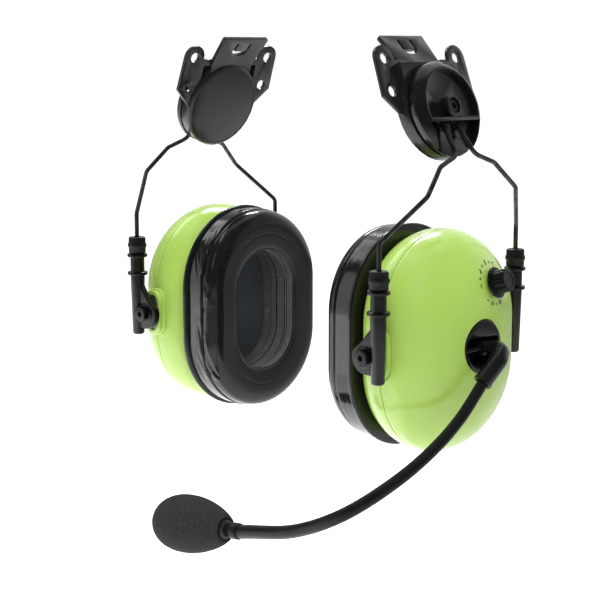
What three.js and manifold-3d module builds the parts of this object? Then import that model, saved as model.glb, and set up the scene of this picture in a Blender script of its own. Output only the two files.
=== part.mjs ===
// Electronic ear-muff pair for a safety helmet, with a boom microphone on the left cup.
//
// Frame: millimetres, +X to the wearer's left, +Y to the back of the head, +Z up.  The origin is
// midway between the two hub pivots.  The wearer faces -Y.  Every unit is drawn as the left one,
// with X growing outwards; the right one is its mirror image without the boom and the knob.

import * as THREE from 'three';
import { mergeVertices } from 'three/addons/utils/BufferGeometryUtils.js';
import Module from 'manifold-3d';

const wasm = await Module();
wasm.setup();

// ---------------------------------------------------------------- driving dimensions
const GAP = 0.3;                       // clearance between neighbouring pieces

// helmet bracket and hub, in the bracket's frame: x outwards along the pivot, z up the plate
const PIVOT = [70.3, 0, 0];
const LEAN = THREE.MathUtils.degToRad(-19.3);
const DRUM = { rise: 0.8, inner: -2.0, outer: 5.0, face: 20.4, radius: 22.5, shoulder: 1.6,
  rim: 1.6, recess: 1.2, boss: 6.0 };
const EAR = { y: 25.1, topHole: 26.0, lowHole: 10.9, hole: 2.6, half: 6.1, cornerY: 31.7, cornerZ: 8.8,
  footY: 22.8, footZ: 0.4, from: 0.2, to: 1.7 };
const PEG = { y: 26.8, z: 12.7, radius: 1.6, tip: -1.3 };
const BASE = { half: 13.6, from: -1.0, top: 22.9, bottom: 8.0 };
const WEB = { half: 19.6, floor: 3.0, wall: 1.5 };
const BLADE = { foot: 27.2, width: 30, shift: -0.5, thick: 2.0, length: 17.6, lean: 24.5, chamfer: 0.6 };
const TONGUE = { width: 7.8, length: 5.4, below: 2.8, slit: 1.1, window: 1.9 };
const GUSSET = { high: 28.0, low: 25.0 };   // webs that fill the corner between the ears and the blade
const HUB = { neck: 20.0, neckDepth: 0.9, radius: 22.0, shoulder: 9.0, lipRadius: 18.6, top: 12.5, flatZ: -6.8,
  floor: 7.2, recess: 17.2, recessDepth: 3.2, lip: 1.9, boss: 5.0, bossTop: 13.6, channel: 6.4 };
const SCREW = { head: 3.3, headDepth: 1.8, shank: 1.8, floor: 0.6, lobe: 1.9, key: 1.1 };

// wire yoke
const WIRE = 1.1;                      // radius of the spring wire
const CROSSBAR = { x: 7.6, z: -4.6 };  // in the bracket's frame, the yoke's hinge line
const SWAY = 0.9;                      // the cup hangs this far behind the pivot
const YOKE = {                         // corners of one leg in the unit's frame, rear side
  slot: [78.99, 4.74, -1.83],
  out: [89.87, 6.37, -17.1],
  spread: [90.86, 19.19, -21.5],
  shoulder: [93.95, 31.68, -33.45],
  elbow: [81.7, 49.2, -53.2],
  end: [81.7, 49.2, -104.2],
};

// slider tubes and cup pivots
const LEG = { x: 81.7, y: 49.2 };
const CUP_PIVOT = { x: 75.3, z: -103.6 };
const TUBE = { bottom: -11.5, low: 3.0, high: 3.6, flange: 5.1, flangeThick: 1.8, lowFlange: 19.2,
  topFlange: 28.4, neck: 3.0, bore: 1.5, spigot: 2.6, spigotTop: 36, sides: 12 };
const CAP = { top: 38.7, radius: 3.9, bulge: 4.5, sides: 12 };
const WING = { radius: 8.0, from: -2.2, to: 1.2 };      // across the tube, 0 at the tube's axis
const NUT = { flats: 7.0, thick: 2.2, hole: 1.0, shank: 1.6, washer: 0.9 };

// cup: x runs outwards from the rim plate's outer face.  Every outline is an oblong: two half circles of
// the given radius, whose centres lie a half length called core above and below the middle.
const RIM_X = 57.5;
const LIFT = 0.5;                      // the outlines' middle lies this far above the pivots
const RIM = { outer: 40.35, inner: 24.0, core: 12.2, thick: 2.2, edge: 0.5 };
const SHELL = { foot: 28, belly: 41.5, bellyX: 17, pole: 44.45, core: 10.3, coreGrowth: -2.0, fullness: 2.2,
  seam: 18.65, wall: 2.6, lip: 25.4 };
const PAD = { low: [12.6, 24.6, 43.0], high: [10.8, 22.8, 45.2], recess: [7.4, 18.4, 2.0], root: 38 };
const CUSHION = { outer: 37.85, core: 13.05, inner: 19.5, innerCore: 10.85, face: -19.5 };
const LINER = { radius: 23.7, core: 11.6, front: -1.4, back: 6.0 };
const SPEAKER = { radius: 19, depth: 9.5, magnet: 11 };
const BOARD = { width: 44, height: 60, x: 27.1, thick: 1.6 };
const BATTERY = { depth: 8.4, width: 26, height: 40 };
const POST = { radius: 2.4, y: 13, z: 22, root: 3.6 };     // pillars that carry the board

// boom and volume knob, left cup only
const TURRET = { radius: 12.1, face: 44.2, z: 1.0, turn: THREE.MathUtils.degToRad(4), depth: 10.6,
  lidEdge: 4.0, wall: 1.8, floor: 1.6 };
const ARM = { x: 99.6, y: 4.0, z: -103.4, pin: 1.0, pinHalf: 10.8 };
const ELBOW = { radius: 3.3, lower: 3.9, collar: 4.15, collarLength: 1.4, socket: 4.0, socketRadius: 3.15,
  cheek: 3.4 };
const NECK = 2.62;                     // radius of the gooseneck
const KNOB = { y: 9.3, z: 28.0, flange: 7.1, barrel: 5.5, length: 8.2, shaft: 1.5, flutes: 12 };
const FOAM = { start: 8.3, half: 22.4, radius: 13.6 };
const CAPSULE = { neck: 3.4, radius: 4.6, end: 19 };

const RING = 28;                       // facets round a cup outline

// ---------------------------------------------------------------- materials
function finish(color, roughness, metalness = 0) {
  return new THREE.MeshStandardMaterial({ color, roughness, metalness });
}
const limePlastic = finish(0xa8d060, 0.22);
const charcoalPlastic = finish(0x2f2f30, 0.45);
const glossBlack = finish(0x17181a, 0.18);
const blackVinyl = finish(0x1b1c1e, 0.3);
const darkWire = finish(0x3a3b3d, 0.32, 0.9);
const blackRubber = finish(0x161617, 0.75);
const steel = finish(0x55575a, 0.4, 0.9);
const linerFoam = finish(0x2a323a, 0.95);
const windFoam = finish(0x3a3b3d, 0.95);
const circuitGreen = finish(0x1d5a38, 0.5);
const batteryGrey = finish(0x6d7278, 0.5);

// ---------------------------------------------------------------- geometry helpers
function welded(geometry) {
  const bare = geometry.clone();
  bare.deleteAttribute('normal');
  bare.deleteAttribute('uv');
  const merged = mergeVertices(bare, 1e-4);
  const source = merged.index.array;
  const kept = [];
  for (let i = 0; i < source.length; i += 3) {
    const [a, b, c] = [source[i], source[i + 1], source[i + 2]];
    if (a !== b && b !== c && c !== a) kept.push(a, b, c);
  }
  merged.setIndex(kept);
  return merged;
}

// A closed geometry with its faces pointing out, whichever way round it was drawn.
function outward(geometry) {
  const merged = welded(geometry);
  const p = merged.attributes.position;
  const index = merged.index.array;
  const [a, b, c] = [new THREE.Vector3(), new THREE.Vector3(), new THREE.Vector3()];
  let volume = 0;
  for (let i = 0; i < index.length; i += 3) {
    a.fromBufferAttribute(p, index[i]);
    b.fromBufferAttribute(p, index[i + 1]);
    c.fromBufferAttribute(p, index[i + 2]);
    volume += a.dot(b.cross(c));
  }
  if (volume < 0) {
    const turned = [];
    for (let i = 0; i < index.length; i += 3) turned.push(index[i], index[i + 2], index[i + 1]);
    merged.setIndex(turned);
  }
  return merged;
}

function toSolid(geometry) {
  const closed = outward(geometry);
  const vertProperties = new Float32Array(closed.attributes.position.array);
  const triVerts = new Uint32Array(closed.index.array);
  return new wasm.Manifold(new wasm.Mesh({ numProp: 3, vertProperties, triVerts }));
}

function fromSolid(solid) {
  const mesh = solid.getMesh();
  const geometry = new THREE.BufferGeometry();
  geometry.setAttribute('position', new THREE.BufferAttribute(new Float32Array(mesh.vertProperties), 3));
  geometry.setIndex([...mesh.triVerts]);
  return geometry;
}

function join(first, ...others) {
  return fromSolid(others.reduce((sum, other) => sum.add(toSolid(other)), toSolid(first)));
}

function cut(first, ...others) {
  return fromSolid(others.reduce((rest, other) => rest.subtract(toSolid(other)), toSolid(first)));
}

function common(first, second) {
  return fromSolid(toSolid(first).intersect(toSolid(second)));
}

function moved(geometry, x, y, z) {
  return geometry.clone().translate(x, y, z);
}

// A turned solid along an axis, from [position, radius] pairs.
function turned(axis, profile, segments = 24) {
  const points = profile.map(([along, radius]) => new THREE.Vector2(radius, along));
  const lathe = new THREE.LatheGeometry(points, segments);
  if (axis === 'x') lathe.rotateZ(-Math.PI / 2);
  if (axis === 'z') lathe.rotateX(Math.PI / 2);
  return lathe;
}

function rod(axis, radius, from, to, segments = 24) {
  return turned(axis, [[from, 0], [from, radius], [to, radius], [to, 0]], segments);
}

function block(x0, x1, y0, y1, z0, z1) {
  const box = new THREE.BoxGeometry(x1 - x0, y1 - y0, z1 - z0);
  return box.translate((x0 + x1) / 2, (y0 + y1) / 2, (z0 + z1) / 2);
}

// A sheet whose outline is drawn in y and z, from x0 to x1.
function sheetX(shape, x0, x1, curveSegments = 8) {
  const sheet = new THREE.ExtrudeGeometry(shape, { depth: x1 - x0, bevelEnabled: false, curveSegments });
  const axes = [new THREE.Vector3(0, 1, 0), new THREE.Vector3(0, 0, 1), new THREE.Vector3(1, 0, 0)];
  return sheet.applyMatrix4(new THREE.Matrix4().makeBasis(...axes)).translate(x0, 0, 0);
}

// A sheet whose outline is drawn in x and z, from y0 to y1.
function sheetY(shape, y0, y1, curveSegments = 8) {
  const sheet = new THREE.ExtrudeGeometry(shape, { depth: y1 - y0, bevelEnabled: false, curveSegments });
  const axes = [new THREE.Vector3(1, 0, 0), new THREE.Vector3(0, 0, 1), new THREE.Vector3(0, -1, 0)];
  return sheet.applyMatrix4(new THREE.Matrix4().makeBasis(...axes)).translate(0, y1, 0);
}

function oblong(width, height) {
  const r = width / 2;
  const c = height / 2 - r;
  const shape = new THREE.Shape();
  shape.absarc(0, c, r, 0, Math.PI, false);
  shape.absarc(0, -c, r, Math.PI, 2 * Math.PI, false);
  return shape;
}

// A solid whose every cross-section is an oblong: profile points are [x, radius], or with a core of their own.
function oblongSolid(profile, core, closed = false) {
  const position = [];
  for (const [x, radius, ownCore = core] of profile) {
    for (let k = 0; k < RING; k += 1) {
      const angle = (k + 0.5) / RING * 2 * Math.PI;
      const lift = angle < Math.PI ? ownCore : -ownCore;
      position.push(x, radius * Math.cos(angle), radius * Math.sin(angle) + lift);
    }
  }
  const index = [];
  const rows = closed ? profile.length : profile.length - 1;
  for (let row = 0; row < rows; row += 1) {
    const here = row * RING;
    const next = ((row + 1) % profile.length) * RING;
    for (let k = 0; k < RING; k += 1) {
      const k2 = (k + 1) % RING;
      index.push(here + k, here + k2, next + k);
      index.push(next + k, here + k2, next + k2);
    }
  }
  const geometry = new THREE.BufferGeometry();
  geometry.setAttribute('position', new THREE.Float32BufferAttribute(position, 3));
  geometry.setIndex(index);
  return geometry;
}

// A path through stations, one extrusion step between each two.
class StationPath extends THREE.Curve {
  constructor(stations) {
    super();
    this.stations = stations;
  }

  getPoint(t, target = new THREE.Vector3()) {
    const scaled = Math.min(Math.max(t, 0), 1) * (this.stations.length - 1);
    const i = Math.min(Math.floor(scaled), this.stations.length - 2);
    return target.lerpVectors(this.stations[i], this.stations[i + 1], scaled - i);
  }

  getUtoTmapping(u) {
    return u;
  }
}

function tube(stations, radius, sides) {
  const section = new THREE.Shape();
  for (let k = 0; k < sides; k += 1) {
    const angle = k / sides * 2 * Math.PI;
    const [x, y] = [radius * Math.cos(angle), radius * Math.sin(angle)];
    if (k === 0) section.moveTo(x, y);
    else section.lineTo(x, y);
  }
  const extrudePath = new StationPath(stations);
  return new THREE.ExtrudeGeometry(section, { steps: stations.length - 1, extrudePath, bevelEnabled: false });
}

// Stations along a bent rod: its corners, each rounded by a radius.
function bentStations(corners, radii, arcSteps = 4) {
  const stations = [corners[0].clone()];
  for (let i = 1; i < corners.length - 1; i += 1) {
    const corner = corners[i];
    const back = corners[i - 1].clone().sub(corner).normalize();
    const ahead = corners[i + 1].clone().sub(corner).normalize();
    const setback = radii[i - 1] / Math.tan(back.angleTo(ahead) / 2);
    const start = corner.clone().addScaledVector(back, setback);
    const end = corner.clone().addScaledVector(ahead, setback);
    const bend = new THREE.QuadraticBezierCurve3(start, corner, end);
    stations.push(...bend.getPoints(arcSteps));
  }
  stations.push(corners[corners.length - 1].clone());
  return stations;
}

function vec([x, y, z]) {
  return new THREE.Vector3(x, y, z);
}

// ---------------------------------------------------------------- scene assembly
const headset = new THREE.Group();

function mirrored(geometry) {
  const flipped = geometry.clone().scale(-1, 1, 1);
  const index = flipped.index.array;
  const swapped = [];
  for (let i = 0; i < index.length; i += 3) swapped.push(index[i], index[i + 2], index[i + 1]);
  flipped.setIndex(swapped);
  return flipped;
}

// A nested frame; on the right unit (side -1) it is mirrored across the wearer's middle.
function frame(parent, side, [x, y, z], turnY = 0) {
  const group = new THREE.Group();
  group.position.set(side * x, y, z);
  group.rotation.y = side * turnY;
  parent.add(group);
  return group;
}

function place(parent, side, name, geometry, material) {
  const closed = outward(geometry);
  const mesh = new THREE.Mesh(side > 0 ? closed : mirrored(closed), material);
  mesh.name = name;
  mesh.geometry.computeVertexNormals();
  parent.add(mesh);
  return mesh;
}

// ---------------------------------------------------------------- helmet bracket
function outline(points) {
  const shape = new THREE.Shape();
  points.forEach(([a, b], i) => (i === 0 ? shape.moveTo(a, b) : shape.lineTo(a, b)));
  return shape;
}

function earOutline() {
  const { y, topHole, half, cornerY, cornerZ, footY, footZ } = EAR;
  const inner = WEB.half - WEB.wall;
  const shape = outline([[footY, footZ], [cornerY, cornerZ], [y + half, topHole]]);
  shape.absarc(y, topHole, half, 0, Math.PI, false);
  shape.lineTo(y - half, GUSSET.high);
  shape.lineTo(BASE.half - GAP, GUSSET.low);
  shape.lineTo(BASE.half - GAP, BASE.top - 1);
  shape.lineTo(inner, BASE.top - 1);
  shape.lineTo(inner, footZ);
  return shape;
}

// The blade that snaps into the helmet's side slot, with its U-cut tongue.
function bladeGeometry() {
  const { foot, width, shift, thick, length, lean, chamfer } = BLADE;
  const half = width / 2;
  const plate = outline([[-foot / 2, -thick], [foot / 2, -thick], [half + shift, length - chamfer],
    [half + shift - chamfer, length], [shift - half + chamfer, length], [shift - half, length - chamfer]]);
  const { width: tongue, length: drop, below, slit, window: gap } = TONGUE;
  const top = length - below;
  const end = top - drop;
  const outer = tongue / 2 + slit;
  // a half-moon window under the tongue's free end, and a slit along each of its sides
  const moon = moved(rod('x', outer, -thick, thick, 16).scale(1, 1, gap / outer), 0, shift, end);
  const cuts = [
    block(-thick, thick, shift - outer, shift - tongue / 2, end - 0.01, top),
    block(-thick, thick, shift + tongue / 2, shift + outer, end - 0.01, top),
    common(moon, block(-thick, thick, shift - outer, shift + outer, end - gap, end)),
  ];
  const blade = cut(sheetX(plate, -thick / 2, thick / 2), ...cuts);
  blade.rotateY(-THREE.MathUtils.degToRad(lean));
  return blade.translate(0, 0, BASE.top);
}

// Both sides use the same moulding turned about, so the peg is behind on the left and in front on the right.
function bracketGeometry(pegSide) {
  const { rise, inner, outer, face, radius, shoulder, rim, recess, boss } = DRUM;
  const drum = moved(turned('x', [[inner, 0], [inner, face], [inner + 0.5, face + 1.1], [inner + shoulder, radius],
    [outer, radius], [outer, 0]], 28), 0, 0, rise);
  const { half, from, top, bottom } = BASE;
  const side = WEB.half - WEB.wall;
  const parts = [
    block(from, outer, -half, half, bottom, top),
    block(WEB.floor, outer, -WEB.half, WEB.half, bottom, top),
    block(EAR.from, outer, side, WEB.half, bottom, top),
    block(EAR.from, outer, -WEB.half, -side, bottom, top),
    sheetX(earOutline(), EAR.from, EAR.to, 6),
    sheetX(earOutline(), EAR.from, EAR.to, 6).scale(1, -1, 1),
    bladeGeometry(),
  ];
  const holes = [rod('x', SCREW.shank + GAP, 1.4, outer + 2, 12)];
  for (const y of [-EAR.y, EAR.y]) {
    holes.push(moved(rod('x', EAR.hole, EAR.from - 1, EAR.to + 1, 12), 0, y, EAR.topHole));
    holes.push(moved(rod('x', EAR.hole, EAR.from - 1, EAR.to + 1, 12), 0, y, EAR.lowHole));
  }
  // the drum is hollowed behind the hub's disc, round the seat of its screw
  holes.push(cut(moved(rod('x', radius - rim, outer - recess, outer + 1, 28), 0, 0, rise),
    rod('x', boss, 0, outer - GAP, 16)));
  const peg = moved(rod('x', PEG.radius, PEG.tip, EAR.from + 0.6, 12), 0, pegSide * PEG.y, PEG.z);
  return join(cut(join(drum, ...parts), ...holes), peg);
}

// ---------------------------------------------------------------- rotating hub
// A disc segment with its flat side down.
function deeOutline(radius, flatZ) {
  const angle = Math.asin(flatZ / radius);
  const dee = new THREE.Shape();
  dee.absarc(0, 0, radius, angle, Math.PI - angle, false);
  return dee;
}

// A drum with a conical shoulder.  Its upper part is a housing with a D-shaped recess for the screw; below the
// D's flat side the drum is cut back, fan-shaped, to a floor over which the two wire legs run out.
function hubGeometry() {
  const from = DRUM.outer + GAP;
  const { neck, neckDepth, radius, shoulder, lipRadius, top, flatZ, floor, recess, recessDepth, lip } = HUB;
  const { boss, bossTop, channel } = HUB;
  const drum = turned('x', [[from, 0], [from, neck], [from + neckDepth, neck], [from + neckDepth + 0.3, radius],
    [shoulder, radius], [top - 0.2, lipRadius], [top, lipRadius - 0.4], [top, 0]], 32);
  const corner = Math.sqrt(lipRadius ** 2 - flatZ ** 2);
  const low = [0.7 * corner, -0.85 * radius];
  const fan = sheetX(outline([[-corner, flatZ], [-low[0], low[1]], [-0.5 * low[0], -radius - 1],
    [0.5 * low[0], -radius - 1], low, [corner, flatZ]]), floor, top + 1);
  const hollow = sheetX(deeOutline(recess, flatZ + lip), top - recessDepth, top + 1, 11);
  const screwSeat = turned('x', [[from, 0], [from, boss + 0.4], [bossTop - 0.6, boss], [bossTop, boss - 0.6],
    [bossTop, 0]], 14);
  const clear = WIRE + GAP;
  const mouth = flatZ - 3.2;
  const back = from + neckDepth + 0.5;
  const cuts = [block(from - 1, CROSSBAR.x + clear, -channel, channel, CROSSBAR.z - clear, CROSSBAR.z + clear)];
  for (const side of [-1, 1]) {
    const y = side * YOKE.slot[1];
    // the slot widens outwards, so that the legs can swing away from the head
    const slot = outline([[CROSSBAR.x - clear, CROSSBAR.z + clear], [CROSSBAR.x - clear + 0.2, CROSSBAR.z],
      [back, flatZ - 0.2], [back, mouth], [top - 0.7, mouth], [top - 0.7, flatZ - 0.4],
      [CROSSBAR.x + clear, CROSSBAR.z + clear]]);
    cuts.push(sheetY(slot, y - clear - 0.3, y + clear + 0.5));
  }
  cuts.push(rod('x', SCREW.shank + GAP, from - 1, top + 1, 10));
  cuts.push(rod('x', SCREW.head + GAP, bossTop - SCREW.floor - SCREW.headDepth, bossTop + 1, 14));
  return cut(join(cut(drum, fan, hollow), screwSeat), ...cuts);
}

// A six-lobed key socket in a low head.
function hubScrewGeometry() {
  const { head, headDepth, shank, floor, lobe, key } = SCREW;
  const outer = HUB.bossTop - floor;
  const inner = outer - headDepth + GAP;
  const body = turned('x', [[2.0, 0], [2.0, shank], [inner, shank], [inner, head], [outer - 0.5, head],
    [outer, head - 0.6], [outer, 0]], 14);
  const corners = [];
  for (let k = 0; k < 12; k += 1) {
    const angle = k / 12 * 2 * Math.PI;
    const reach = k % 2 === 0 ? lobe : key;
    corners.push([reach * Math.cos(angle), reach * Math.sin(angle)]);
  }
  return cut(body, sheetX(outline(corners), outer - 1.2, outer + 1));
}

// ---------------------------------------------------------------- wire yoke
function yokeGeometry() {
  const leg = [[YOKE.end, 1], [YOKE.elbow, 1], [YOKE.shoulder, 0.5], [YOKE.spread, 0.3], [YOKE.out, 0], [YOKE.slot, 0]];
  const corner = (sign) => ([[x, y, z], sway]) => new THREE.Vector3(x, sign * y + sway * SWAY, z);
  const corners = [...leg.map(corner(1)), ...leg.map(corner(-1)).reverse()];
  const radii = [4.0, 5.0, 6.0, 5.0, 2.0];
  return tube(bentStations(corners, [...radii, ...[...radii].reverse()], 3), WIRE, 6);
}

// ---------------------------------------------------------------- slider tube, cap and pivot
// Drawn round the tube's own axis, with z measured from the cup's pivot and y growing away from the cup.
const WING_X = CUP_PIVOT.x - LEG.x;

function sliderGeometry() {
  const { bottom, low, high, flange, flangeThick, lowFlange, topFlange, neck, bore, spigot, spigotTop, sides } = TUBE;
  const tubeBody = turned('z', [[bottom, 0], [bottom, low - 0.5], [bottom + 0.5, low], [lowFlange, high],
    [lowFlange, flange], [lowFlange + flangeThick, flange], [lowFlange + flangeThick, neck],
    [topFlange, neck], [topFlange, flange], [topFlange + flangeThick, flange],
    [topFlange + flangeThick, spigot], [spigotTop, spigot], [spigotTop, 0]], sides);
  const { radius, from, to } = WING;
  const wing = new THREE.Shape();
  const tangent = Math.PI * 0.12;
  wing.moveTo(0, radius + 6.5);
  wing.lineTo(WING_X + radius * Math.cos(Math.PI - tangent), radius * Math.sin(tangent));
  wing.absarc(WING_X, 0, radius, Math.PI - tangent, Math.PI * 1.5, false);
  wing.lineTo(0, -radius);
  const plate = sheetY(wing, from, to, 6);
  const washer = moved(turned('y', [[to - 1, 0], [to - 1, 5.2], [to + NUT.washer, 4.5], [to + NUT.washer, 0]], 12),
    WING_X, 0, 0);
  const pinHole = moved(rod('y', NUT.shank + GAP, from - 2, to + 4, 8), WING_X, 0, 0);
  return cut(join(tubeBody, plate, washer), rod('z', bore, bottom + 2, spigotTop + 1, 8), pinHole);
}

function capGeometry() {
  const { top, radius, bulge, sides } = CAP;
  const seat = TUBE.topFlange + TUBE.flangeThick + GAP;
  const inside = TUBE.spigot + GAP;
  const roof = TUBE.spigotTop + GAP;
  return turned('z', [[seat, inside], [seat, radius], [seat + 2.6, radius], [seat + 3.3, bulge],
    [seat + 4.6, bulge], [seat + 5.3, radius], [top - 0.6, radius], [top, radius - 0.7], [top, TUBE.bore],
    [roof, TUBE.bore], [roof, inside], [seat, inside]], sides);
}

function pinGeometry() {
  const { flats, thick, hole, shank, washer } = NUT;
  const from = WING.to + washer + GAP;
  const corner = flats / Math.sqrt(3);
  const nut = moved(turned('y', [[from, 0], [from, corner], [from + thick - 0.4, corner],
    [from + thick, flats / 2], [from + thick, 0]], 6), WING_X, 0, 0);
  const pin = moved(rod('y', shank, -9.2, from + 1, 8), WING_X, 0, 0);
  const dimple = moved(rod('y', hole, from + thick - 1.4, from + thick + 1, 6), WING_X, 0, 0);
  return cut(join(nut, pin), dimple);
}

// ---------------------------------------------------------------- cup shell and cover
// A row of the dome: 0 at the belly and 90 degrees at the pole, measured a wall's thickness or less inside.
function domeRow(degrees, inset) {
  const { belly, bellyX, pole, core, coreGrowth, fullness } = SHELL;
  const angle = THREE.MathUtils.degToRad(degrees);
  const [rise, shrink] = [Math.sin(angle), Math.cos(angle)].map((share) => share ** (2 / fullness));
  const radius = degrees === 90 ? 0 : (belly - inset) * shrink;
  return [bellyX + (pole - bellyX - inset) * rise, radius, core + coreGrowth * rise * rise];
}

// A row of the flared foot, which turns in below the belly and meets the rim plate flat.
function footRow(degrees) {
  const { foot, belly, bellyX } = SHELL;
  const angle = THREE.MathUtils.degToRad(degrees);
  return [bellyX - (bellyX - GAP) * Math.sin(angle), foot + (belly - foot) * Math.cos(angle)];
}

// The dome's row at a distance x outwards from the rim plate.
function domeRowAt(x, inset) {
  const { bellyX, pole, fullness } = SHELL;
  const share = ((x - bellyX) / (pole - bellyX - inset)) ** (fullness / 2);
  return domeRow(THREE.MathUtils.radToDeg(Math.asin(share)), inset);
}

// The point of the dome's outer surface over a given y and z, with the outward normal there.
function onDome(y, z) {
  const { belly, bellyX, pole, core, coreGrowth, fullness } = SHELL;
  let rise = 0.9;
  let over = 0;
  for (let i = 0; i < 12; i += 1) {
    over = Math.max(Math.abs(z) - core - coreGrowth * rise * rise, 0);
    rise = (1 - (Math.hypot(y, over) / belly) ** fullness) ** (1 / fullness);
  }
  const height = pole - bellyX;
  const slope = Math.hypot(y, over) ** (fullness - 2) / belly ** fullness;
  const normal = new THREE.Vector3(rise ** (fullness - 1) / height, slope * y, slope * Math.sign(z) * over);
  return { point: new THREE.Vector3(bellyX + height * rise, y, z), normal: normal.normalize() };
}

// The cup turns on its two pivots, which lie a little below the middle of its outline.
function atPivot(geometry) {
  return moved(geometry, CUP_PIVOT.x - RIM_X, 0, -LIFT);
}

function padSolid([width, height, reach]) {
  return atPivot(sheetY(oblong(width, height), PAD.root, reach, 5));
}

function baseShellGeometry() {
  const { seam, wall, lip, core } = SHELL;
  const end = seam - GAP / 2;
  const outer = [...[90, 66, 48, 30, 0].map(footRow), domeRowAt(end, 0)];
  const inner = [domeRowAt(end, wall), ...[[40, 1], [62, 1.7]].map(([degrees, share]) => {
    const [x, radius] = footRow(degrees);
    return [x, radius - share * wall];
  })];
  const shell = oblongSolid([...outer, ...inner, [wall, lip], [GAP, lip]], core, true);
  const pads = [];
  const recesses = [];
  const [width, height, depth] = PAD.recess;
  for (const side of [-1, 1]) {
    pads.push(padSolid(PAD.low).scale(1, side, 1), padSolid(PAD.high).scale(1, side, 1));
    const recess = sheetY(oblong(width, height), PAD.high[2] - depth, PAD.high[2] + 2, 5);
    recesses.push(atPivot(recess).scale(1, side, 1));
    recesses.push(atPivot(rod('y', NUT.shank + GAP, side * (PAD.root + 1), side * (PAD.high[2] + 3), 8)));
  }
  return cut(join(shell, ...pads), ...recesses);
}

// The leaf that loads a cup pivot, in the recess of its pad.
function springPlateGeometry() {
  const [width, height, depth] = PAD.recess;
  const floor = PAD.high[2] - depth;
  const plate = sheetY(oblong(width - 2 * GAP, height - 2 * GAP), floor + GAP, floor + GAP + 1.2, 4);
  return atPivot(cut(plate, rod('y', NUT.shank + GAP, floor, floor + 3, 8)));
}

function coverGeometry(side) {
  const { seam, wall, pole, core } = SHELL;
  const start = seam + GAP / 2;
  const outer = [domeRowAt(start, 0), ...[14, 27, 40, 52, 64, 77, 90].map((a) => domeRow(a, 0))];
  const inner = [domeRowAt(start, wall), ...[30, 60, 90].map((a) => domeRow(a, wall))].reverse();
  const shell = oblongSolid([...outer, ...inner], core, true);
  const [width, height, reach] = PAD.low;
  const notch = atPivot(sheetY(oblong(width + 2 * GAP, height + 2 * GAP), PAD.root - 8, reach, 5));
  const notches = [notch, notch.clone().scale(1, -1, 1)];
  if (side < 0) return cut(shell, ...notches);
  const { radius, depth, wall: skirt } = TURRET;
  const { radius: pillar, y: across, z: up, root } = POST;
  const posts = [[-across, -up], [across, -up], [-across, up]].map(([y, z]) => moved(
    rod('x', pillar, BOARD.x + BOARD.thick + GAP, pole - root, 6), 0, y, z));
  const back = -depth - GAP;
  const well = atTurret(rod('x', radius + GAP + skirt, back - skirt, -wall, 22));
  const hole = atTurret(rod('x', radius + GAP, back, 4, 24));
  const knobHole = atKnob(rod('x', KNOB.shaft + GAP, -8, 6, 8));
  return cut(join(cut(shell, ...notches), ...posts, well), hole, knobHole);
}

// The turret's disc and the volume knob have frames of their own on the left cover.
function atTurret(geometry) {
  return geometry.clone().rotateZ(-TURRET.turn).translate(TURRET.face, -SWAY, TURRET.z);
}

function atKnob(geometry) {
  const { point, normal } = onDome(KNOB.y, KNOB.z);
  const turn = new THREE.Quaternion().setFromUnitVectors(new THREE.Vector3(1, 0, 0), normal);
  return geometry.clone().applyQuaternion(turn).translate(point.x, point.y, point.z);
}

// ---------------------------------------------------------------- seal, cushion, liner, speaker
function rimPlateGeometry() {
  const { outer, inner, core, thick, edge } = RIM;
  return oblongSolid([[0, inner], [0, outer - edge], [-edge, outer], [edge - thick, outer],
    [-thick, outer - edge], [-thick, inner]], core, true);
}

// The crowned ring that seals round the ear: a flat side band, a drawn-in seam and a rounded face,
// with an opening that is a little less tall than the outline.
function cushionGeometry() {
  const { outer, core, inner, innerCore: low, face } = CUSHION;
  const back = -RIM.thick - GAP;
  return oblongSolid([
    [back, inner + 6], [back, outer - 1.2], [back - 0.9, outer - 0.2], [-8.6, outer + 0.1], [-15, outer - 0.1],
    [-16.2, outer - 1.1], [-17.6, outer - 1.2], [-18.9, outer - 3.4], [face, outer - 7.4], [face, inner + 6.4],
    [face + 0.8, inner + 2.2, low], [face + 3.4, inner + 0.1, low], [face + 9, inner, low],
    [back - 2.4, inner + 1.6, low],
  ], core, true);
}

function linerGeometry() {
  const { radius, core, front, back } = LINER;
  return oblongSolid([[front + 0.6, 0, 0], [front, radius - 5], [front + 1, radius], [back, radius],
    [back, 0, 0]], core);
}

function speakerGeometry() {
  const { radius, depth, magnet } = SPEAKER;
  const from = LINER.back + GAP;
  return turned('x', [[from, 0], [from, radius], [from + 2.2, radius], [from + 5, magnet],
    [from + depth, magnet], [from + depth, 0]], 22);
}

// ---------------------------------------------------------------- boom, left cup
// Centreline of the elbow and of the gooseneck, in the unit's frame.
const elbowCorners = [[ARM.x, ARM.y, ARM.z], [108.6, 4.0, -102.8], [111.2, -1.2, -107.2], [108.9, -9.8, -116.3]];
const neckPoints = [[108.9, -9.8, -116.3], [107.2, -23.4, -130.9], [105.3, -41.0, -142.6], [100.2, -58.2, -153.2],
  [87, -73.6, -166], [60.2, -77, -179.5], [23.6, -75.9, -189.1]];

function turretGeometry() {
  const { radius, depth, lidEdge, wall, floor } = TURRET;
  const disc = turned('x', [[-depth, 0], [-depth, radius], [-0.4, radius], [0, radius - 0.4], [0, 0]], 24);
  const cavity = common(
    rod('x', radius - wall, floor - depth, 3, 20),
    block(floor - depth, 3, -radius, radius, -radius, lidEdge),
  );
  const placed = atTurret(cut(disc, cavity));
  const pinHole = moved(rod('y', ARM.pin + GAP / 2, -ARM.pinHalf - SWAY - 0.2, ARM.pinHalf - SWAY + 0.2, 10),
    ARM.x - RIM_X, 0, ARM.z - CUP_PIVOT.z - LIFT);
  return cut(placed, pinHole);
}

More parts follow.
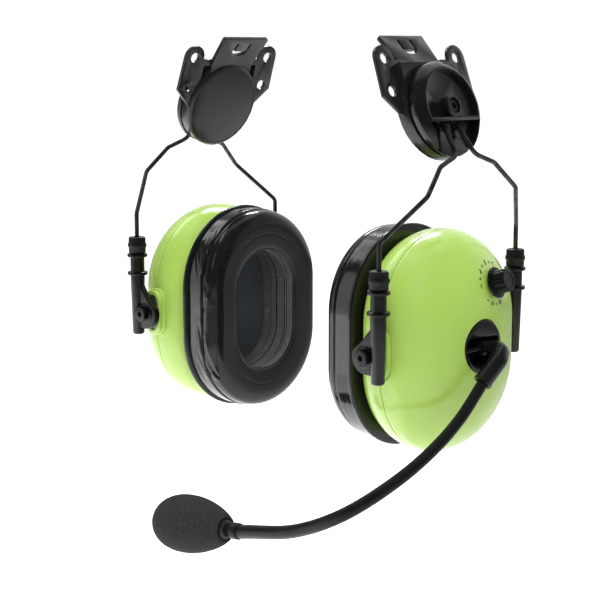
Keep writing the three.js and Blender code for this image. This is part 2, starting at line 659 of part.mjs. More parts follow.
// The elbow is slim where it tilts in the turret and thicker from its first bend on.
function elbowGeometry() {
  const { radius, lower, collar: wide, collarLength: length, socket: deep, socketRadius, cheek } = ELBOW;
  const corners = elbowCorners.map(vec);
  const stations = bentStations(corners, [4.5, 5.0], 3);
  const body = tube(stations, radius, 10);
  const thick = tube(stations.slice(3), lower, 12);
  const knuckle = moved(rod('y', radius, ARM.y - cheek, ARM.y + cheek, 12), ARM.x, 0, ARM.z);
  const last = corners[corners.length - 1];
  const along = last.clone().sub(corners[corners.length - 2]).normalize();
  const turn = new THREE.Quaternion().setFromUnitVectors(new THREE.Vector3(0, 0, 1), along);
  const atEnd = (geometry) => geometry.applyQuaternion(turn).translate(last.x, last.y, last.z);
  const collar = atEnd(turned('z', [[-length, 0], [-length, lower - 0.1], [0.3 - length, wide], [-0.4, wide],
    [0, wide - 0.4], [0, 0]], 12));
  const socket = atEnd(rod('z', socketRadius, -deep, 2, 10));
  const pinHole = moved(rod('y', ARM.pin + GAP, ARM.y - 6, ARM.y + 6, 8), ARM.x, 0, ARM.z);
  return cut(join(body, thick, knuckle, collar), socket, pinHole);
}

function hingePinGeometry() {
  return moved(rod('y', ARM.pin, -ARM.pinHalf, ARM.pinHalf, 10), ARM.x, 0, ARM.z);
}

// The gooseneck starts inside the elbow's socket.
function neckGeometry() {
  const points = neckPoints.map(vec);
  const elbowEnd = vec(elbowCorners[elbowCorners.length - 2]);
  points[0].addScaledVector(points[0].clone().sub(elbowEnd).normalize(), GAP - ELBOW.socket);
  const curve = new THREE.CatmullRomCurve3(points, false, 'centripetal');
  return tube(curve.getSpacedPoints(26), NECK, 8);
}

function atMic(geometry) {
  const end = vec(neckPoints[neckPoints.length - 1]);
  const axis = new THREE.Vector3(-1, -0.08, -0.1).normalize();
  const turn = new THREE.Quaternion().setFromUnitVectors(new THREE.Vector3(1, 0, 0), axis);
  return geometry.clone().applyQuaternion(turn).translate(end.x, end.y, end.z);
}

function micCollarGeometry() {
  return turned('x', [[2 * GAP, 0], [2 * GAP, 2.9], [1.1, 3.2], [4.4, 3.2], [5.0, 2.9], [FOAM.start - GAP, 2.9],
    [FOAM.start - GAP, 0]], 14);
}

function micCapsuleGeometry() {
  const { neck, radius, end } = CAPSULE;
  return turned('x', [[FOAM.start, 0], [FOAM.start, neck], [FOAM.start + 1.2, radius], [end - 1, radius],
    [end, radius - 0.8], [end, 0]], 14);
}

// Egg-shaped foam, blunt at both ends, pulled over the capsule.
function windscreenGeometry() {
  const { start, half, radius } = FOAM;
  const first = THREE.MathUtils.degToRad(29);
  const steps = 9;
  const outer = [];
  for (let i = 0; i < steps; i += 1) {
    const t = first + (Math.PI - first) * i / steps;
    const share = (Math.cos(first) - Math.cos(t)) / (Math.cos(first) + 1);
    outer.push([start + 2 * half * share, radius * Math.sin(t) * (1 - 0.12 * Math.cos(t))]);
  }
  const { neck, radius: capsule, end } = CAPSULE;
  const mouth = neck + GAP;
  return turned('x', [[start, mouth], ...outer, [start + 2 * half, 0], [end + GAP, 0],
    [end + GAP, capsule + GAP], [start + 1.0, capsule + GAP], [start, mouth]], 18);
}

// ---------------------------------------------------------------- knob and electronics, left cup
function knobGeometry() {
  const { flange, barrel, length, shaft, flutes } = KNOB;
  const body = turned('x', [[1.2, 0], [1.2, flange], [2.4, flange], [2.8, flange - 0.4], [2.8, barrel],
    [length - 0.6, barrel], [length, barrel - 0.6], [length, 0]], 20);
  const grooves = [];
  for (let k = 0; k < flutes; k += 1) {
    const angle = k / flutes * 2 * Math.PI;
    const reach = barrel + 0.25;
    grooves.push(moved(rod('x', 0.75, 3.4, length + 1, 4), 0, reach * Math.cos(angle), reach * Math.sin(angle)));
  }
  return cut(body, ...grooves, rod('x', shaft + GAP, 0, 5.4, 10));
}

function knobShaftGeometry() {
  return rod('x', KNOB.shaft, -5.2, 5.1, 10);
}

function switchGeometry() {
  return cut(rod('x', 5.2, -9.5, -4.0, 16), rod('x', KNOB.shaft + GAP, -5.5, 0, 10));
}

function circuitBoardGeometry() {
  return sheetX(oblong(BOARD.width, BOARD.height), BOARD.x, BOARD.x + BOARD.thick, 6);
}

// The cell lies against the board's inner face.
function batteryGeometry() {
  const { depth, width, height } = BATTERY;
  const back = BOARD.x - GAP;
  return block(back - depth, back, -width / 2, width / 2, -height / 2, height / 2);
}

// ---------------------------------------------------------------- one unit
function buildUnit(side) {
  const hand = side > 0 ? 'left' : 'right';
  const unit = new THREE.Group();
  headset.add(unit);

  const bracket = frame(unit, side, PIVOT, LEAN);
  place(bracket, side, `helmet_bracket_${hand}`, bracketGeometry(side), charcoalPlastic);
  place(bracket, side, `hub_${hand}`, hubGeometry(), charcoalPlastic);
  place(bracket, side, `hub_screw_${hand}`, hubScrewGeometry(), steel);

  place(unit, side, `wire_yoke_${hand}`, yokeGeometry(), darkWire);

  const cup = frame(unit, side, [RIM_X, SWAY, CUP_PIVOT.z + LIFT]);
  for (const [end, sign] of [['front', -1], ['rear', 1]]) {
    const leg = frame(unit, side, [LEG.x, sign * LEG.y + SWAY, CUP_PIVOT.z]);
    const faced = (geometry) => outward(geometry).scale(1, sign, 1);
    place(leg, side, `slider_${end}_${hand}`, faced(sliderGeometry()), charcoalPlastic);
    place(leg, side, `slider_cap_${end}_${hand}`, faced(capGeometry()), blackRubber);
    place(leg, side, `pivot_pin_${end}_${hand}`, faced(pinGeometry()), steel);
    place(cup, side, `spring_plate_${end}_${hand}`, faced(springPlateGeometry()), steel);
  }

  place(cup, side, `cup_shell_${hand}`, baseShellGeometry(), limePlastic);
  place(cup, side, `cup_cover_${hand}`, coverGeometry(side), limePlastic);
  place(cup, side, `rim_plate_${hand}`, rimPlateGeometry(), glossBlack);
  place(cup, side, `ear_cushion_${hand}`, cushionGeometry(), blackVinyl);
  place(cup, side, `foam_liner_${hand}`, linerGeometry(), linerFoam);
  place(cup, side, `speaker_${hand}`, speakerGeometry(), blackRubber);
  return { unit, cup };
}

const left = buildUnit(1);
buildUnit(-1);

place(left.cup, 1, 'boom_turret', turretGeometry(), glossBlack);
place(left.unit, 1, 'boom_hinge_pin', hingePinGeometry(), steel);
place(left.unit, 1, 'boom_elbow', elbowGeometry(), glossBlack);
place(left.unit, 1, 'boom_gooseneck', neckGeometry(), blackRubber);
place(left.unit, 1, 'mic_collar', atMic(micCollarGeometry()), glossBlack);
place(left.unit, 1, 'mic_capsule', atMic(micCapsuleGeometry()), charcoalPlastic);
place(left.unit, 1, 'mic_windscreen', atMic(windscreenGeometry()), windFoam);

place(left.cup, 1, 'volume_knob', atKnob(knobGeometry()), glossBlack);
place(left.cup, 1, 'knob_shaft', atKnob(knobShaftGeometry()), steel);
place(left.cup, 1, 'volume_switch', atKnob(switchGeometry()), charcoalPlastic);
place(left.cup, 1, 'circuit_board', circuitBoardGeometry(), circuitGreen);
place(left.cup, 1, 'battery', batteryGeometry(), batteryGrey);

export default headset;
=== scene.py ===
import math

import bmesh
import bpy
from mathutils import Matrix, Vector, noise


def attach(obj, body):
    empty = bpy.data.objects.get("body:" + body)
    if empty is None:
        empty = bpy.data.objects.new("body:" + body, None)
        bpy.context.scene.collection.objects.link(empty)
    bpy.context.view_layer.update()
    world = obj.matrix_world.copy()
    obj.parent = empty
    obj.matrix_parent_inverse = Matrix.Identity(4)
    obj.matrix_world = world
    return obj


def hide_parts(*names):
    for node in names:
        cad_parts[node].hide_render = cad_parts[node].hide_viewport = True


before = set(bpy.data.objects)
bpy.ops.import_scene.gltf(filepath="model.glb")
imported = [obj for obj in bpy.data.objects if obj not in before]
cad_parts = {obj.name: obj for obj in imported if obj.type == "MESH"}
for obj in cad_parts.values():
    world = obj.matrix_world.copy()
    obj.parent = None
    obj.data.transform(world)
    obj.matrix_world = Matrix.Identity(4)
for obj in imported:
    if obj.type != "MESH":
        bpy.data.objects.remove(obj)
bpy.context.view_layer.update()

# Looks of the helmet-mounted ear-muff pair.  Pieces are drawn in millimetres as the left unit's, in the
# same local frames as the solids, then placed in metres; the right unit is the mirror image.

MM = 0.001
X, Z = Vector((1, 0, 0)), Vector((0, 0, 1))

# ---------------- driving dimensions
# Most are the solids'; those of the printed marks and of the ears', window's and edge's details are drawn
# here alone.
GAP = 0.3
PIVOT = Vector((70.3, 0, 0))
LEAN = math.radians(-19.3)
SWAY = 0.9
RIM_X = 57.5
LIFT = 0.5
CUP_PIVOT = Vector((75.3, 0, -103.6))
LEG = Vector((81.7, 49.2, 0))
WIRE = 1.1
YOKE = [  # corners of one leg from the hub down, and each one's share of the sway
    ((78.99, 4.74, -1.83), 0), ((89.87, 6.37, -17.1), 0), ((90.86, 19.19, -21.5), 0.3),
    ((93.95, 31.68, -33.45), 0.5), ((81.7, 49.2, -53.2), 1), ((81.7, 49.2, -104.2), 1)]
YOKE_BENDS = [2.0, 5.0, 6.0, 5.0, 4.0]
FOOT, BELLY, BELLY_X, POLE, SEAM, WALL, LIP = 28, 41.5, 17, 44.45, 18.65, 2.6, 25.4
SHELL_CORE, CORE_GROWTH, FULLNESS = 10.3, -2.0, 2.2
PAD_LOW, PAD_HIGH, PAD_RECESS, PAD_ROOT = (12.6, 24.6, 43.0), (10.8, 22.8, 45.2), (7.4, 18.4, 2.0), 38
RIM_OUTER, RIM_INNER, RIM_CORE, RIM_THICK = 40.35, 24.0, 12.2, 2.2
CUSHION_OUTER, CUSHION_CORE, CUSHION_INNER, OPENING_CORE, CUSHION_FACE = 37.85, 13.05, 19.5, 10.85, -19.5
LINER_RADIUS, LINER_CORE, LINER_FRONT, LINER_SEAT, LINER_BACK = 23.7, 11.6, -1.4, 4.4, 6.0
LINER_EDGE = 0.6                         # the green edge between the liner's collar and its foam
TURRET_RADIUS, TURRET_FACE, TURRET_Z, TURRET_TURN, TURRET_DEPTH = 12.1, 44.2, 1.0, math.radians(4), 10.6
KNOB_Y, KNOB_Z, KNOB_FLANGE, KNOB_BARREL, KNOB_LENGTH, FLUTES = 9.3, 28.0, 7.1, 5.5, 8.2, 12
ARM = Vector((99.6, 4.0, -103.4))
ELBOW = [(99.6, 4.0, -103.4), (108.6, 4.0, -102.8), (111.2, -1.2, -107.2), (108.9, -9.8, -116.3)]
ELBOW_RADIUS, ELBOW_LOWER, ELBOW_COLLAR = 3.5, 4.1, 4.45
NECK, NECK_END = 2.55, 3.3
NECK_PATH = [(108.9, -9.8, -116.3), (107.2, -23.4, -130.9), (105.3, -41.0, -142.6), (100.2, -58.2, -153.2),
             (87, -73.6, -166), (60.2, -77, -179.5), (23.6, -75.9, -189.1)]
BLADE_FOOT, BLADE_LEAN, BLADE_SHIFT = 22.9, math.radians(24.5), -0.5
TONGUE_END, TONGUE_ROOT, WINDOW_HALF, WINDOW_DEPTH = 9.4, 14.8, 5.0, 3.0
EAR_EDGE, EAR_STEP, DRUM_RISE = 19.0, 25.1, 0.8
MARK_RING, MARK_SIZE, MARK_THICK, MARKS, MARK_FIRST, MARK_STEP = 9.7, 2.7, 0.06, 16, 183, 21
MARK_BOLD, MARK_DOT, MARK_LIFT = 0.09, 0.5, 0.01
MIC_AXIS = Vector((-1, -0.08, -0.1)).normalized()
FOAM_START, FOAM_HALF, FOAM_RADIUS, FOAM_EGG = 9.6, 22.0, 13.5, 0.21


# ---------------- camera and light
BACKDROP = (-0.256, 0.957, -0.139)       # where the bright backdrop lies, seen from the object
ROOM = [                                 # the room's grey, from the camera's side round to the backdrop
    (0, 0.05), (0.55, 0.06), (0.61, 0.23), (0.76, 0.37), (0.88, 0.95), (1, 1.0)]


def add(name, data):
    """A new object in the scene."""
    obj = bpy.data.objects.new(name, data)
    bpy.context.scene.collection.objects.link(obj)
    return obj


def camera():
    data = bpy.data.cameras.new("camera")
    data.sensor_width = 36
    data.lens = 87.28
    data.clip_start = 0.01
    cam = add("camera", data)
    cam.location = (0.48552, -0.50832, 0.02904)
    cam.rotation_euler = (math.radians(80.264), 0, math.radians(44.571))
    bpy.context.scene.camera = cam


def area_light(name, place, size, power, glossy=True, target=(0.02, -0.01, -0.09)):
    """A rectangular soft box, width by height; glossy says whether it shows in reflections."""
    data = bpy.data.lights.new(name, "AREA")
    data.shape = "RECTANGLE"
    data.size, data.size_y = size
    data.energy = power
    lamp = add(name, data)
    lamp.location = place
    lamp.rotation_euler = (Vector(target) - Vector(place)).to_track_quat("-Z", "Y").to_euler()
    lamp.visible_glossy = glossy
    lamp.visible_camera = False


def studio():
    """White where the camera looks, and for the light itself a bright backdrop in a dim room."""
    scene = bpy.context.scene
    scene.view_settings.view_transform = "Standard"
    world = bpy.data.worlds.new("studio")
    scene.world = world
    world.use_nodes = True
    tree = world.node_tree
    tree.nodes.clear()
    new = tree.nodes.new
    out, mix, rays = new("ShaderNodeOutputWorld"), new("ShaderNodeMixShader"), new("ShaderNodeLightPath")
    seen, around = new("ShaderNodeBackground"), new("ShaderNodeBackground")
    with_values(seen, Strength=1.05, Color=(1, 1, 1, 1))
    coords, towards = new("ShaderNodeTexCoord"), new("ShaderNodeVectorMath")
    towards.operation = "DOT_PRODUCT"
    towards.inputs[1].default_value = BACKDROP
    spread, ramp = new("ShaderNodeMapRange"), new("ShaderNodeValToRGB")
    spread.inputs["From Min"].default_value = -1
    steps = ramp.color_ramp.elements
    for at, grey in ROOM:
        step = steps[0] if at == 0 else steps[-1] if at == 1 else steps.new(at)
        step.color = (grey, grey, grey, 1)
    for source, target in (
            (coords.outputs["Generated"], towards.inputs[0]),
            (towards.outputs["Value"], spread.inputs["Value"]),
            (spread.outputs[0], ramp.inputs[0]), (ramp.outputs[0], around.inputs["Color"]),
            (rays.outputs["Is Camera Ray"], mix.inputs[0]), (around.outputs[0], mix.inputs[1]),
            (seen.outputs[0], mix.inputs[2]), (mix.outputs[0], out.inputs[0])):
        tree.links.new(source, target)
    area_light("key", (0.9, -0.9, 1.3), (1.0, 1.0), 15, False)
    area_light("fill", (1.0, -0.9, 0.1), (1.4, 1.4), 5, False)
    area_light("sky", (0.1, 0.1, 1.5), (1.2, 1.2), 20, False)
    area_light("front_left", (-1.06, -1.06, -0.05), (0.5, 2.0), 3.9)
    area_light("side_strip", (-1.25, -0.05, 1.05), (0.9, 0.5), 2.8)
    area_light("overhead", (-0.5, 0.2, 1.4), (2.2, 1.8), 8)
    area_light("table", (-0.15, -0.1, -0.5), (1.3, 1.3), 6.2)
    area_light("window", (-0.65, 0.66, 0.94), (0.5, 0.16), 11, target=(0.077, -0.013, -0.054))


def floor(material):
    """A plain pale floor, well below the hanging object."""
    low, reach = -0.55, 9.0
    verts = [(-reach, -reach, low), (reach, -reach, low), (reach, reach, low), (-reach, reach, low)]
    mesh = bpy.data.meshes.new("floor")
    mesh.from_pydata(verts, [], [(0, 1, 2, 3)])
    mesh.materials.append(material)
    add("floor", mesh)


# ---------------- materials
def linear(red, green, blue):
    """A colour given as 0 to 255 screen values."""
    def one(value):
        share = value / 255
        return share / 12.92 if share <= 0.04045 else ((share + 0.055) / 1.055) ** 2.4
    return (one(red), one(green), one(blue), 1)


def with_values(node, **values):
    """Sets a node's sockets by their names, with _ for a space."""
    for key, value in values.items():
        node.inputs[key.replace("_", " ")].default_value = value
    return node


class Finish:
    """A node-based material; sizes of its grain are in millimetres, values are the shader's sockets."""

    def __init__(self, name, roughness, **values):
        self.material = bpy.data.materials.new(name)
        self.material.use_nodes = True
        self.tree = self.material.node_tree
        self.shader = with_values(self.tree.nodes["Principled BSDF"], Roughness=roughness, IOR=1.5)
        with_values(self.shader, **values)
        self.coords = self.tree.nodes.new("ShaderNodeTexCoord")
        self.normal = None

    def node(self, kind, **values):
        return with_values(self.tree.nodes.new(kind), **values)

    def link(self, source, target):
        self.tree.links.new(source, target)

    def grain(self, size, detail=3.0, stretch=(1, 1, 1)):
        """Noise whose features are about size millimetres wide."""
        mapping = self.node("ShaderNodeMapping", Scale=stretch)
        self.link(self.coords.outputs["Object"], mapping.inputs["Vector"])
        made = self.node("ShaderNodeTexNoise", Scale=1 / (size * MM), Detail=detail)
        self.link(mapping.outputs[0], made.inputs["Vector"])
        return made.outputs["Fac"]

    def cells(self, size):
        made = self.node("ShaderNodeTexVoronoi", Scale=1 / (size * MM))
        self.link(self.coords.outputs["Object"], made.inputs["Vector"])
        return made.outputs["Distance"]

    def colour(self, fac, dark, light, low=0.3, high=0.7):
        ramp = self.node("ShaderNodeValToRGB")
        for step, at, shade in zip(ramp.color_ramp.elements, (low, high), (dark, light)):
            step.position = at
            step.color = shade
        self.link(fac, ramp.inputs[0])
        self.link(ramp.outputs[0], self.shader.inputs["Base Color"])

    def rough(self, fac, smooth, coarse):
        spread = self.node("ShaderNodeMapRange", From_Min=0.3, From_Max=0.7, To_Min=smooth, To_Max=coarse)
        self.link(fac, spread.inputs["Value"])
        self.link(spread.outputs[0], self.shader.inputs["Roughness"])

    def bump(self, fac, depth, strength=1.0):
        """Raises the surface by up to depth millimetres; further bumps add to the first."""
        made = self.node("ShaderNodeBump", Strength=strength, Distance=depth * MM)
        self.link(fac, made.inputs["Height"])
        if self.normal is not None:
            self.link(self.normal, made.inputs["Normal"])
        self.normal = made.outputs["Normal"]
        self.link(self.normal, self.shader.inputs["Normal"])


def finish(name, roughness, tone, gloss=None, relief=(), **shader):
    """A finish whose colour, gloss and relief each follow a grain of their own.

    tone is the grain's size and detail with the darker and the lighter colour, gloss the grain's size
    with the least and the most roughness, and relief each grain's size, depth and strength.
    """
    made = Finish(name, roughness, **shader)
    size, detail, dark, light = tone
    made.colour(made.grain(size, detail), linear(*dark), linear(*light))
    if gloss:
        size, smooth, coarse = gloss
        made.rough(made.grain(size), smooth, coarse)
    for size, depth, strength in relief:
        made.bump(made.grain(size, 2), depth, strength)
    return made


def finishes():
    made = {
        "lime": finish("lime_plastic", 0.2, (26, 3, (171, 206, 94), (176, 211, 99)), (4, 0.18, 0.25),
                       [(2.4, 0.012, 0.2)], Coat_Weight=0.3, Coat_Roughness=0.05),
        "charcoal": finish("charcoal_plastic", 0.24, (12, 3, (26, 26, 27), (30, 30, 31)), (7, 0.21, 0.27),
                           [(0.6, 0.002, 0.3)]),
        "housing": finish("hub_plastic", 0.2, (12, 3, (16, 16, 17), (20, 20, 21)), (7, 0.17, 0.22),
                          [(0.6, 0.002, 0.3)]),
        "leaf": finish("spring_plate_steel", 0.4, (2, 4, (112, 113, 114), (136, 137, 138)), (1, 0.34, 0.46),
                       [(0.5, 0.006, 0.3)], Metallic=0.7),
        "tube": finish("slider_plastic", 0.3, (9, 3, (7, 7, 7), (11, 11, 11)), (5, 0.26, 0.34),
                       [(0.6, 0.003, 0.3)], IOR=1.42),
        "dull": finish("knob_plastic", 0.4, (4, 3, (9, 9, 8), (13, 13, 12)), (2, 0.36, 0.46),
                       [(0.5, 0.004, 0.3)], IOR=1.3),
        "gloss": finish("gloss_black_plastic", 0.14, (14, 3, (19, 20, 19), (24, 25, 24)), (5, 0.10, 0.15),
                        [(5, 0.008, 0.2)]),
        "vinyl": finish("black_vinyl", 0.12, (7, 3, (21, 21, 22), (26, 26, 27)), (5, 0.10, 0.15),
                        [(0.6, 0.002, 0.3), (16, 0.03, 0.3)]),
        # the opening's wall: vinyl painted a lighter grey than the face, a painted sheen for the light it
        # reflects
        "skirt": finish("inner_vinyl_painted_sheen", 0.3, (12, 3, (92, 92, 93), (100, 100, 101)), (6, 0.2, 0.28),
                        [(8, 0.02, 0.3)]),
        # the liner's edge: lime green, painted a darker olive as shade at the bottom of the opening
        "lime_edge_painted_shade": finish("liner_edge_painted_shade", 0.5, (6, 3, (66, 74, 34), (76, 84, 42)), (3, 0.45, 0.6)),
        "rubber": finish("black_rubber", 0.6, (3, 3, (6, 6, 6), (10, 10, 10)), (1.2, 0.5, 0.7),
                         [(0.3, 0.02, 0.4)], IOR=1.45),
        "neck": finish("gooseneck_sleeve", 0.34, (5, 3, (18, 18, 18), (24, 24, 24)), (2, 0.3, 0.38),
                       [(0.4, 0.02, 0.3)], IOR=1.28),
        "dark_steel": finish("blackened_steel", 0.32, (1.5, 4, (40, 40, 42), (60, 60, 62)),
                             (0.8, 0.26, 0.4), [(0.4, 0.01, 0.4)], Metallic=0.9),
        "driver": finish("driver_plastic", 0.5, (4, 3, (26, 26, 27), (34, 34, 35)), None,
                         [(0.4, 0.02, 0.3)]),
        "board": finish("circuit_board", 0.45, (1.2, 5, (18, 74, 40), (34, 104, 58)), None,
                        [(1.0, 0.05, 0.3)]),
        "cell": finish("battery_wrap", 0.4, (8, 3, (96, 101, 107), (116, 121, 126)), None,
                       [(0.8, 0.02, 0.3)]),
        "ink": finish("printed_marks", 0.5, (0.5, 3, (14, 17, 10), (22, 27, 16))),
    }

    wire = Finish("spring_wire", 0.3, Metallic=0.85)
    wire.colour(wire.grain(2.2, 4, (1, 1, 0.08)), linear(44, 45, 48), linear(86, 87, 90))
    wire.rough(wire.grain(0.5), 0.24, 0.4)
    wire.bump(wire.grain(0.3, 2, (1, 1, 0.1)), 0.01, 0.4)
    made["wire"] = wire

    liner = Finish("liner_foam", 0.95, IOR=1.3)
    liner.colour(liner.grain(1.4, 4), linear(66, 72, 76), linear(78, 84, 88))
    liner.bump(liner.cells(0.7), 0.08, 0.4)
    made["liner"] = liner

    foam = Finish("windscreen_foam", 0.95, IOR=1.3)
    foam.colour(foam.grain(0.9, 5), linear(39, 39, 40), linear(56, 56, 57))
    foam.bump(foam.cells(0.7), 0.2, 0.6)
    foam.bump(foam.grain(0.5, 4), 0.2, 0.5)
    made["foam"] = foam

    pale = Finish("studio_floor", 0.9, Emission_Color=(1, 1, 1, 1))
    pale.colour(pale.grain(300), (0.90, 0.90, 0.90, 1), (0.93, 0.93, 0.93, 1))
    pale.bump(pale.grain(3, 2), 0.05, 0.1)
    seen = pale.node("ShaderNodeLightPath")
    pale.link(seen.outputs["Is Camera Ray"], pale.shader.inputs["Emission Strength"])
    made["floor"] = pale
    return made


# ---------------- mesh helpers, in millimetres
def skin(rows, closed=False):
    """Joins rows of points into a closed surface; a row of one point is a pole."""
    verts, starts = [], []
    for row in rows:
        starts.append(len(verts))
        verts += row
    faces = []
    last = len(rows)
    for i in range(last if closed else last - 1):
        j = (i + 1) % last
        count_i, count_j = len(rows[i]), len(rows[j])
        count = max(count_i, count_j)
        for k in range(count):
            k2 = (k + 1) % count
            corners = [starts[i] + k % count_i, starts[i] + k2 % count_i,
                       starts[j] + k2 % count_j, starts[j] + k % count_j]
            face = list(dict.fromkeys(corners))
            if len(face) > 2:
                faces.append(face)
    if not closed:
        for i in (0, last - 1):
            if len(rows[i]) > 2:
                faces.append([starts[i] + k for k in range(len(rows[i]))])
    return verts, faces


def on_axis(axis, along, across, up):
    return Vector({"x": (along, across, up), "y": (across, along, up), "z": (across, up, along)}[axis])


def lathe(axis, profile, sides=48):
    """A turned solid from [position, radius] pairs."""
    angles = [(k + 0.5) / sides * 2 * math.pi for k in range(sides)]
    return skin([
        [on_axis(axis, along, radius * math.cos(a), radius * math.sin(a)) for a in angles]
        if radius else [on_axis(axis, along, 0, 0)] for along, radius in profile])


def rod(axis, radius, start, end, sides=32, edge=0.0):
    if edge:
        return lathe(axis, [(start, 0), (start, radius - edge), (start + edge, radius),
                            (end - edge, radius), (end, radius - edge), (end, 0)], sides)
    return lathe(axis, [(start, 0), (start, radius), (end, radius), (end, 0)], sides)


def oblong(axis, along, radius, core, arc=28, line=10):
    """Points round an oblong: two half circles joined by straight sides."""
    points = []
    for lift, first in ((core, 0.0), (-core, math.pi)):
        for k in range(arc + 1):
            angle = first + math.pi * k / arc
            points.append(on_axis(axis, along, radius * math.cos(angle), radius * math.sin(angle) + lift))
        for k in range(1, line):
            height = lift * (1 - 2 * k / line)
            points.append(on_axis(axis, along, -radius if lift > 0 else radius, height))
    return points


def oblong_solid(axis, profile, core=None, closed=False, arc=28, line=10):
    """Profile points are (position, radius), or (position, radius, half core) where the core changes."""
    return skin([oblong(axis, along, radius, own[0] if own else core, arc, line)
                 for along, radius, *own in profile], closed)


def smooth_profile(points, steps):
    """Catmull-Rom points through a profile; each has the same count of numbers."""
    def blend(a, b, c, d, t):
        square = (2 * a - 5 * b + 4 * c - d) * t * t
        cube = (3 * b - a - 3 * c + d) * t ** 3
        return 0.5 * (2 * b + (c - a) * t + square + cube)
    last = len(points) - 1
    made = []
    for i in range(last):
        four = [points[min(max(i + k, 0), last)] for k in (-1, 0, 1, 2)]
        for s in range(steps):
            made.append(tuple(blend(*numbers, s / steps) for numbers in zip(*four)))
    made.append(tuple(points[-1]))
    return made


def sweep(points, radius, sides):
    """A rod along points; radius is a number or a function of the point's index."""
    tangents = []
    for i in range(len(points)):
        ahead = points[min(i + 1, len(points) - 1)]
        back = points[max(i - 1, 0)]
        tangents.append((ahead - back).normalized())
    across = tangents[0].orthogonal().normalized()
    rows = []
    for i, point in enumerate(points):
        if i:
            across = tangents[i - 1].rotation_difference(tangents[i]) @ across
        other = tangents[i].cross(across)
        here = radius(i) if callable(radius) else radius
        rows.append([point + here * (math.cos(a) * across + math.sin(a) * other)
                     for a in (2 * math.pi * k / sides for k in range(sides))])
    return skin(rows)


def curved(start, corner, end, t):
    """A point on the curve from start to end that leaves and arrives towards the corner."""
    return start * (1 - t) ** 2 + corner * 2 * t * (1 - t) + end * t * t


def bent(corners, radii, steps):
    """Points along a bent rod: its corners, each rounded by a radius."""
    made = [corners[0].copy()]
    for i in range(1, len(corners) - 1):
        corner = corners[i]
        back = (corners[i - 1] - corner).normalized()
        ahead = (corners[i + 1] - corner).normalized()
        setback = radii[i - 1] / math.tan(back.angle(ahead) / 2)
        start, end = corner + back * setback, corner + ahead * setback
        made += [curved(start, corner, end, s / steps) for s in range(steps + 1)]
    made.append(corners[-1].copy())
    return made


def between(a, b, start, end, t):
    """The point at t on the line through a at start and b at end."""
    return a * ((end - t) / (end - start)) + b * ((t - start) / (end - start))


def through(points, count):
    """A centripetal curve through points, as count + 1 evenly spaced ones."""
    ends = [points[0] * 2 - points[1], *points, points[-1] * 2 - points[-2]]
    steps = 24
    fine = []
    for i in range(1, len(ends) - 2):
        four = ends[i - 1:i + 3]
        knots = [0.0]
        for a, b in zip(four, four[1:]):
            knots.append(knots[-1] + math.sqrt((b - a).length))
        t0, t1, t2, t3 = knots
        for s in range(steps):
            t = t1 + (t2 - t1) * s / steps
            first, second, third = (between(*four[n:n + 2], *knots[n:n + 2], t) for n in range(3))
            before, after = between(first, second, t0, t2, t), between(second, third, t1, t3, t)
            fine.append(between(before, after, t1, t2, t))
    fine.append(points[-1].copy())
    lengths = [0.0]
    for a, b in zip(fine, fine[1:]):
        lengths.append(lengths[-1] + (b - a).length)
    made, at = [], 0
    for s in range(count + 1):
        want = lengths[-1] * s / count
        while at < len(fine) - 2 and lengths[at + 1] < want:
            at += 1
        share = (want - lengths[at]) / max(lengths[at + 1] - lengths[at], 1e-9)
        made.append(fine[at].lerp(fine[at + 1], min(share, 1)))
    return made


# ---------------- objects
def body_object(name, *shapes):
    """One object from closed shapes, welded, with its faces pointing out."""
    mesh = bpy.data.meshes.new(name)
    shaped = bmesh.new()
    for verts, faces in shapes:
        made = [shaped.verts.new(v) for v in verts]
        for face in faces:
            shaped.faces.new([made[k] for k in face])
    bmesh.ops.remove_doubles(shaped, verts=shaped.verts, dist=1e-4)
    bmesh.ops.dissolve_degenerate(shaped, edges=shaped.edges, dist=1e-5)
    bmesh.ops.recalc_face_normals(shaped, faces=shaped.faces)
    shaped.to_mesh(mesh)
    shaped.free()
    return add(name, mesh)


def settle(obj):
    """Applies the object's modifiers."""
    bpy.context.view_layer.update()
    graph = bpy.context.evaluated_depsgraph_get()
    mesh = bpy.data.meshes.new_from_object(obj.evaluated_get(graph))
    obj.modifiers.clear()
    old, obj.data = obj.data, mesh
    bpy.data.meshes.remove(old)
    return obj


def boolean(obj, operation, *shapes):
    """Joins shapes to the object, takes them away or keeps only what lies in them.

    A shape is an object or a closed surface.
    """
    for shape in shapes:
        tool = body_object("tool", shape) if isinstance(shape, tuple) else shape
        step = obj.modifiers.new("step", "BOOLEAN")
        step.operation = operation
        step.solver = "EXACT"
        step.object = tool
        settle(obj)
        bpy.data.objects.remove(tool)


def soften(obj, width, angle=35, segments=2):
    """Rounds the sharp edges."""
    step = obj.modifiers.new("edges", "BEVEL")
    step.width = width
    step.segments = segments
    step.limit_method = "ANGLE"
    step.angle_limit = math.radians(angle)
    step.use_clamp_overlap = True
    return settle(obj)


def placed(geometry, matrix):
    verts, faces = geometry
    return [matrix @ v for v in verts], faces


def aimed(place, axis, towards):
    """Turns an axis towards a direction, at a place."""
    return Matrix.Translation(place) @ axis.rotation_difference(towards).to_matrix().to_4x4()


def local_cup():
    return Matrix.Translation((RIM_X, SWAY, CUP_PIVOT.z + LIFT))


def local_bracket():
    return Matrix.Translation(PIVOT) @ Matrix.Rotation(LEAN, 4, "Y")


def local_leg(sign):
    return Matrix.Translation((LEG.x, sign * LEG.y + SWAY, CUP_PIVOT.z)) @ Matrix.Diagonal((1, sign, 1, 1))


def dress(obj, materials, body, nodes, sharp):
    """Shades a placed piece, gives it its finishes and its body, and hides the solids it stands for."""
    obj.data.shade_smooth()
    obj.data.set_sharp_from_angle(angle=math.radians(sharp))
    obj.data.materials.clear()
    for material in materials:
        obj.data.materials.append(material.material)
    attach(obj, body)
    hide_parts(*nodes)
    return obj


